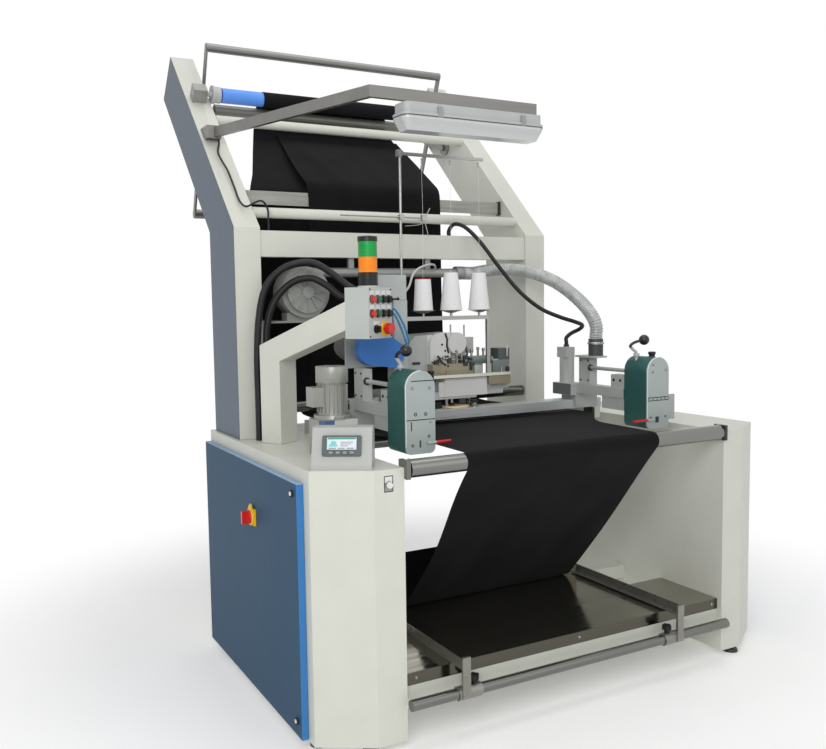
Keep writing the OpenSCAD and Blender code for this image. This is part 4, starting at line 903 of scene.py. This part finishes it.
plate = Shape()
start_field(plate, 16, -23, 29, -0.15, 0.5)
plate.done("start_plate_border", seam_dark, edge=0.05)
plate = Shape()
start_field(plate, 13, 7, 26, -0.3, 0.2)
start_field(plate, 11, 13, 20, -0.6, -0.2)
plate.done("start_plate", white_plastic, edge=0.05)
plate = Shape()
start_field(plate, 13, -20, 4, -0.3, 0.2)
plate.ring(10.6, 12, 1.2, (START_X, -0.2, START_Z), FRONT)
plate.done("start_plate_low", motor_grey, edge=0.05)

FITTING_FACE = DOOR_FACE - 6  # front of the switch plate and of the lock bosses

collar = Shape()
collar.ring(25, 31, 9, (FITTING_FACE, SWITCH_Y, SWITCH_Z), LEFT)
tab = [(SWITCH_Y - 24, SWITCH_Z + 22), (SWITCH_Y + 24, SWITCH_Z + 22), (SWITCH_Y, SWITCH_Z + 48)]
collar.add(
    [(x, y, z) for x in (FITTING_FACE - 8, FITTING_FACE + 0.1) for y, z in tab],
    [(0, 1, 2), (3, 5, 4), (0, 3, 4, 1), (1, 4, 5, 2), (2, 5, 3, 0)],
)
collar.done("switch_collar", yellow_plastic, "left_door", edge=1.0)

locks = Shape()
for z in LOCK_HEIGHTS:
    locks.turned([(7, 0), (7, 2), (5.5, 2.6), (2, 2.6)], (FITTING_FACE, LOCK_Y, z), LEFT, 20)
locks.done("door_locks", rim_white, "left_door")

# Control box: bare label plates, button caps and bezels

ARM = Matrix.Translation((-882, 652, 0)) @ Matrix.Rotation(math.radians(29), 4, "Z")
BOX_FACE = -407
ROWS = (1462, 1413, 1359)
COLUMNS = [71 + (k - 1.5) * 34 for k in range(4)]
CAPS = {"red": [(0, 1)], "green": [(1, 1)], "black": [(2, 0), (3, 0), (2, 1), (3, 1)]}
CAP_FINISH = {"red": red_plastic, "green": green_plastic, "black": black_plastic}
CAP = [(11.3, 0), (11.3, 12), (10, 13.2), (6.5, 13.2), (6, 12.6)]
SELECTOR_X, STOP_X = 43, 97

labels = Shape(ARM)
for z in ROWS[:2]:
    for x in COLUMNS:
        labels.box((x - 13, BOX_FACE - 1.2, z + 15), (x + 13, BOX_FACE - 0.02, z + 30))
labels.box(
    (SELECTOR_X - 17, BOX_FACE - 1.2, ROWS[2] + 15), (SELECTOR_X + 19, BOX_FACE - 0.02, ROWS[2] + 27)
)
labels.done("box_labels", white_plastic, edge=0.3)

for tint, places in CAPS.items():
    caps = Shape(ARM)
    for k, row in places:
        caps.turned(CAP, (COLUMNS[k], BOX_FACE, ROWS[row]), FRONT)
    caps.done(f"box_caps_{tint}", CAP_FINISH[tint])

lever_switch = Shape(ARM)
neck = (COLUMNS[3] + 9, BOX_FACE - 30, ROWS[0] + 1)
lever_switch.tube([(COLUMNS[3], BOX_FACE - 12, ROWS[0]), neck], 3.2)
lever_switch.tube([neck, (COLUMNS[3] + 14, BOX_FACE - 36, ROWS[0] + 1)], 5)
lever_switch.done("box_toggle", black_plastic)

bezels = Shape(ARM)
for k in range(4):
    for row in (0, 1):
        bezels.ring(12.4, 15, 2.2, (COLUMNS[k], BOX_FACE, ROWS[row]), FRONT)
bezels.ring(13, 15.5, 2, (SELECTOR_X, BOX_FACE, ROWS[2]), FRONT)
bezels.done("box_bezels", dark_steel)

collar = Shape(ARM)
collar.ring(14.5, 27, 5, (STOP_X, BOX_FACE, ROWS[2]), FRONT)
collar.done("stop_collar", yellow_plastic)

corners = Shape(ARM)
for x in (7, 135):
    for z in (1334, 1496):
        corners.screw((x, BOX_FACE, z), FRONT, 7, 2)
corners.done("box_screws", dark_steel)

# Edge guides: seams, screws and pale rims on the plates

PLATE_Y = 140
GUIDE_X = {"left": -575, "right": 500}
SHAFT_X = {"left": -600, "right": 460}
RIM_RADIUS, RIM_CENTRE = 56, 1165


def guide_trim(side, seams, bright, dark, slots):
    """Seams (z, x0, x1), screws and dark rings (x, z, diameter), slots (x0, x1, z0, z1) and a rim."""
    body = f"{side}_guide"
    x = GUIDE_X[side]
    lines = Shape()
    for z, x0, x1 in seams:
        lines.box((x0, PLATE_Y - 0.5, z - 1.6), (x1, PLATE_Y + 0.5, z + 1.6))
    for x0, x1, z0, z1 in slots:
        lines.box((x0, PLATE_Y - 0.6, z0), (x1, PLATE_Y + 0.5, z1))
    lines.done(f"{side}_plate_seams", seam_dark, body, edge=0.1)
    heads = Shape()
    for px, z, d in bright:
        heads.screw((px, PLATE_Y, z), FRONT, d, 3)
    heads.done(f"{side}_plate_screws", chrome, body)
    holes = Shape()
    for px, z, d in dark:
        holes.ring(d * 0.28, d * 0.5, 1.2, (px, PLATE_Y, z), FRONT)
    holes.done(f"{side}_plate_rings", seam_dark, body)
    rim = Shape()
    edge_line = [(x - RIM_RADIUS, PLATE_Y, z) for z in range(966, RIM_CENTRE + 1, 10)]
    edge_line += [
        (x - RIM_RADIUS * math.cos(a), PLATE_Y, RIM_CENTRE + RIM_RADIUS * math.sin(a))
        for a in (math.pi * k / 40 for k in range(1, 21))
    ]
    rim.tube(edge_line, 1.7, 8)
    rim.done(f"{side}_plate_rim", rim_white, body)


guide_trim(
    "left",
    seams=[(1187, -610, -521), (1056, -631, -519)],
    bright=[(-606, 1164, 11), (-539, 1163, 11), (-537, 1045, 7)],
    dark=[(-594, 1075, 12), (-555, 1074, 12), (-606, 970, 10), (-543, 998, 10)],
    slots=[(-580, -574, 962, 986), (-612, -608, 1020, 1050)],
)
guide_trim(
    "right",
    seams=[(1051, 444, 556), (1063, 444, 556)],
    bright=[(472, 1164, 10), (541, 1169, 10), (472, 1192, 8)] + [(453 + 21 * k, 1057, 6) for k in range(6)],
    dark=[(462, 985, 9), (540, 985, 9)],
    slots=[(487, 505, 963, 987)],
)

knobs = Shape()
knobs.turned([(9, -10), (9, 8), (11, 10), (11, 17), (9, 19)], (-515, 168, 1198), TOP, 20)
knobs.done("left_guide_bolt", black_plastic, "left_guide")
knobs = Shape()
knobs.turned([(12, -1), (12, 10), (15, 12), (15, 20), (12, 22)], (514, 190, 1219), TOP, 20)
knobs.done("right_guide_bolt", black_plastic, "right_guide")

for side, shaft_x in SHAFT_X.items():
    heads = Shape()
    for y in (293, 332):
        heads.screw((shaft_x - 17, y, 1122), LEFT, 11, 4)
    for y in (512, 560):
        for z in (1106, 1190):
            heads.screw((GUIDE_X[side] - 41, y, z), LEFT, 8, 3)
    heads.ring(8.3, 14, 9, (shaft_x, 500, 1162), FRONT)
    heads.done(f"{side}_tower_screws", dark_steel, f"{side}_guide")

clamp = Shape()
clamp.ring(31.2, 35, 10, (470, 476, 1262), TOP)
clamp.box((466, 438, 1263), (474, 446, 1271))
clamp.done("hose_clamp", steel, "right_guide", edge=0.5)

# Sewing head: covers, looper parts, puller and the pieces on the bar in front of it

HEAD_FACE = 650
PLATE_TOP = 1155
BAR_TOP = 1020

slots = Shape()
slots.tube([(-159, 668, 1322), (-150, 668, 1296), (-151.5, 668, 1267), (-144, 668, 1240)], 4.5, 10)
slots.tube([(-71, 672, 1312), (-61, 669, 1292), (-61, 668, 1263), (-54, 665, 1228)], 4.2, 10)
slots.done("head_slots", dark_steel, sharp=60)

heads = Shape()
for x, y, z in ((-175, 668, 1276), (-160, 668, 1250), (-113, 660, 1247), (-158, 650, 1188)):
    heads.screw((x, y, z), FRONT, 9, 3)
heads.done("head_screws", black_plastic)

loopers = Shape()
loopers.tube([(-214, 652, 1206), (-176, 650, 1222), (-128, 650, 1214)], 4, 10)
loopers.tube([(-112, 655, 1250), (-112, 655, 1196)], 5, 10)
loopers.tube([(-112, 655, 1198), (-112, 655, 1160)], 1.2, 8)
loopers.tube([(-92, 654, 1238), (-88, 652, 1200)], 3.4, 10)
loopers.box((-140, 646, 1157), (-84, 652, 1163))
for x, z in ((-200, 1199), (-74, 1208)):
    loopers.screw((x, HEAD_FACE, z), FRONT, 12, 8)
for x, z in ((-29, 1228), (3, 1234), (30, 1230)):
    loopers.turned([(5, -14), (5, 14), (7, 16), (7, 24), (5, 26)], (x, 674, z), TOP, 16)
loopers.turned([(13, -2), (13, 9), (10, 13), (4, 14)], (63, 674, 1207), RIGHT, 24)
loopers.done("looper_parts", chrome, edge=0.4)

dark_parts = Shape()
dark_parts.tube([(-205, 652, 1232), (-186, 650, 1204), (-168, 651, 1192)], 4.5, 10)
dark_parts.box((-222, 645, 1198), (-196, 655, 1214))
dark_parts.box((-160, 646, 1200), (-142, 655, 1222))
dark_parts.box((-84, 646, 1186), (-64, 656, 1228))
dark_parts.box((-56, 650, 1150), (-44, 660, 1200))
for k in range(6):
    x, z = -224 + 13 * k, 1206 + 4.5 * k
    dark_parts.screw((x, HEAD_FACE, z), FRONT, 8 if k % 2 else 6, 5)
    dark_parts.tube([(x, HEAD_FACE, z), (x, HEAD_FACE + 26, z)], 2.5, 8)
for x, z in ((-104, 1222), (-96, 1206), (-50, 1214)):
    dark_parts.turned([(4, -22), (4, 6), (6, 7), (6, 12), (4, 13)], (x, HEAD_FACE + 2, z), FRONT, 14)
dark_parts.box((-302, 684, 1198), (-268, 691, 1208))
dark_parts.turned([(8, 0), (9, 8), (9, 20), (6, 23)], (108, 609, PLATE_TOP), TOP, 20)
dark_parts.box((-343, 602, PLATE_TOP), (-318, 616, PLATE_TOP + 17))
dark_parts.done("looper_dark_parts", dark_steel, edge=1.0)

bracket = Shape()
bracket.box((14, 604, 1106), (120, 617, 1142.8))
bracket.box((-246, 641, 1144), (-40, 650.5, 1166))
bracket.done("head_brackets", khaki, edge=1.5)

pins = Shape()
for x in (-185, 76):
    pins.turned([(4, -1), (4, 15), (5.5, 16), (5.5, 20), (4, 21)], (x, 609, PLATE_TOP + 1), TOP, 16)
pins.turned([(12, 0), (12, 14), (9, 16), (9, 20)], (-62, 606, BAR_TOP), TOP, 24)
for x in (-175, -150, -70):
    pins.box((x - 5, 634, BAR_TOP), (x + 5, 646, BAR_TOP + 36.2))
pins.done("bar_pins", chrome, edge=0.5)

knob = Shape()
knob.turned([(13, 0), (15, 2), (15, 9), (12, 11), (5, 11)], (-62, 606, BAR_TOP + 19), TOP, 24)
knob.box((-232, 622, BAR_TOP), (-206, 640, BAR_TOP + 26))
knob.box((-160, 628, BAR_TOP), (-140, 640, BAR_TOP + 20))
knob.done("bar_knobs", black_plastic, edge=1.0)

disc = Shape()
disc.turned([(58, 0), (60, 1.5), (60, 5), (57, 7), (20, 7), (18, 6)], (-134, 640.5, BAR_TOP + 0.05), TOP, 40)
disc.done("spare_disc", beige)

# Thread stand: eyelets, guide bracket and the three threads

STAND_Y = 630
CONES = ((-282, 1542), (-152, 1567), (-18, 1567))  # X and top of each cone
ARM_Z = 2018
EYELET_Z = ARM_Z - 26
WIRE_ROOT = (-279, 621, 1778)

eyelets = Shape()
for x, _ in CONES:
    eyelets.turned([(2.2, -14), (2.2, 2), (4.5, 2.5), (4.5, 5)], (x, STAND_Y, EYELET_Z + 14), TOP, 12)
eyelets.done("thread_eyelets", steel)

for k, (x, top) in enumerate(CONES):
    rise_line = [(x, STAND_Y, top), (x + 3, STAND_Y, (top + ARM_Z) / 2), (x, STAND_Y, EYELET_Z)]
    cord_piece(f"thread_{k + 1}", rise_line, 1, None, thread_white)

wires = Shape()
wires.box((-290, 613, 1768), (-268, 629, 1792))
for bend, tip in (
    ((-300, 608, 1754), (-374, 600, 1744)), ((-318, 602, 1766), (-392, 598, 1764)),
    ((-270, 614, 1734), (-264, 612, 1706)), ((-256, 634, 1800), (-236, 648, 1822)),
):
    wires.tube(smooth_line([WIRE_ROOT, bend, tip], 6), 1.6, 8)
wires.done("thread_wires", steel, edge=0.5)

# Fixing screws

lip = Shape()
for x in (-671, 8, 682):
    lip.screw((x, 20, 228), FRONT, 11, 3)
lip.done("tray_screws", chrome)

block_tops = Shape()
for x in (-693, 693):
    block_tops.screw((x, 10, 953), TOP, 8, 3)
block_tops.done("block_screws", chrome)

# Floor, backdrop and light, in metres and watts

WHITE = (1, 1, 1, 1)
SKY_LIGHT = 0.4
FLOOR_GLOW = 0.2
FLOOR_REACH = 40
FADE_START, FADE_END = 1.3, 2.6  # the floor turns plain white between these distances

floor_mesh = bpy.data.meshes.new("floor")
corners = [(FLOOR_REACH * x, FLOOR_REACH * y, 0) for x, y in ((-1, -1), (1, -1), (1, 1), (-1, 1))]
floor_mesh.from_pydata(corners, [], [(0, 1, 2, 3)])
add_object("floor", floor_mesh)


def seen_directly(tree):
    """1 for rays from the camera and for those that mirrors and clear things pass on."""
    path = tree.nodes.new("ShaderNodeLightPath")
    seen = path.outputs["Is Camera Ray"]
    for kind in ("Is Glossy Ray", "Is Transmission Ray"):
        either = tree.nodes.new("ShaderNodeMath")
        either.operation = "MAXIMUM"
        tree.links.new(seen, either.inputs[0])
        tree.links.new(path.outputs[kind], either.inputs[1])
        seen = either.outputs[0]
    return seen


def blended(tree, factor, a, b, output):
    mix = tree.nodes.new("ShaderNodeMixShader")
    tree.links.new(factor, mix.inputs[0])
    tree.links.new(a, mix.inputs[1])
    tree.links.new(b, mix.inputs[2])
    tree.links.new(mix.outputs[0], output)


world = bpy.data.worlds.new("studio")
bpy.context.scene.world = world
world.use_nodes = True
sky = world.node_tree.nodes["Background"]
sky.inputs["Color"].default_value = WHITE
sky.inputs["Strength"].default_value = SKY_LIGHT
backdrop = world.node_tree.nodes.new("ShaderNodeBackground")
backdrop.inputs["Color"].default_value = WHITE
backdrop.inputs["Strength"].default_value = 1.0
blended(
    world.node_tree, seen_directly(world.node_tree), sky.outputs[0], backdrop.outputs[0],
    world.node_tree.nodes["World Output"].inputs["Surface"],
)

floor_paint = Nodes("pale_floor")
floor_paint.paint(floor_paint.drifting((250, 250, 250), (254, 254, 254), 2))
floor_paint.set(Roughness=0.9, Specular_IOR_Level=0.0, Emission_Color=WHITE, Emission_Strength=FLOOR_GLOW)
white = floor_paint.add("Emission", {"Color": WHITE, "Strength": 1.0})
away = floor_paint.add("VectorMath", {0: floor_paint.coordinate}, operation="LENGTH")
fade = floor_paint.add(
    "MapRange",
    {"Value": away.outputs["Value"], "From Min": FADE_START, "From Max": FADE_END},
    interpolation_type="SMOOTHSTEP",
).outputs["Result"]
blended(
    floor_paint.tree, floor_paint.both(fade, seen_directly(floor_paint.tree)),
    floor_paint.shader.outputs[0], white.outputs[0],
    floor_paint.tree.nodes["Material Output"].inputs["Surface"],
)
floor_mesh.materials.append(floor_paint.material)


def lamp(name, place, target, size, watts):
    light = bpy.data.lights.new(name, "AREA")
    light.size = size
    light.energy = watts
    holder = add_object(name, light)
    holder.location = place
    holder.rotation_euler = (Vector(target) - Vector(place)).to_track_quat("-Z", "Y").to_euler()


lamp("key_light", place=(-3.0, -4.2, 3.2), target=(0, 0, 1.3), size=2.6, watts=106)
lamp("fill_light", place=(1.8, -5.0, 2.8), target=(0, 0, 1.1), size=3.0, watts=14)
lamp("top_light", place=(0.2, -0.4, 5.2), target=(0, 0.2, 1.0), size=3.4, watts=55)

bpy.context.scene.view_settings.view_transform = "Standard"
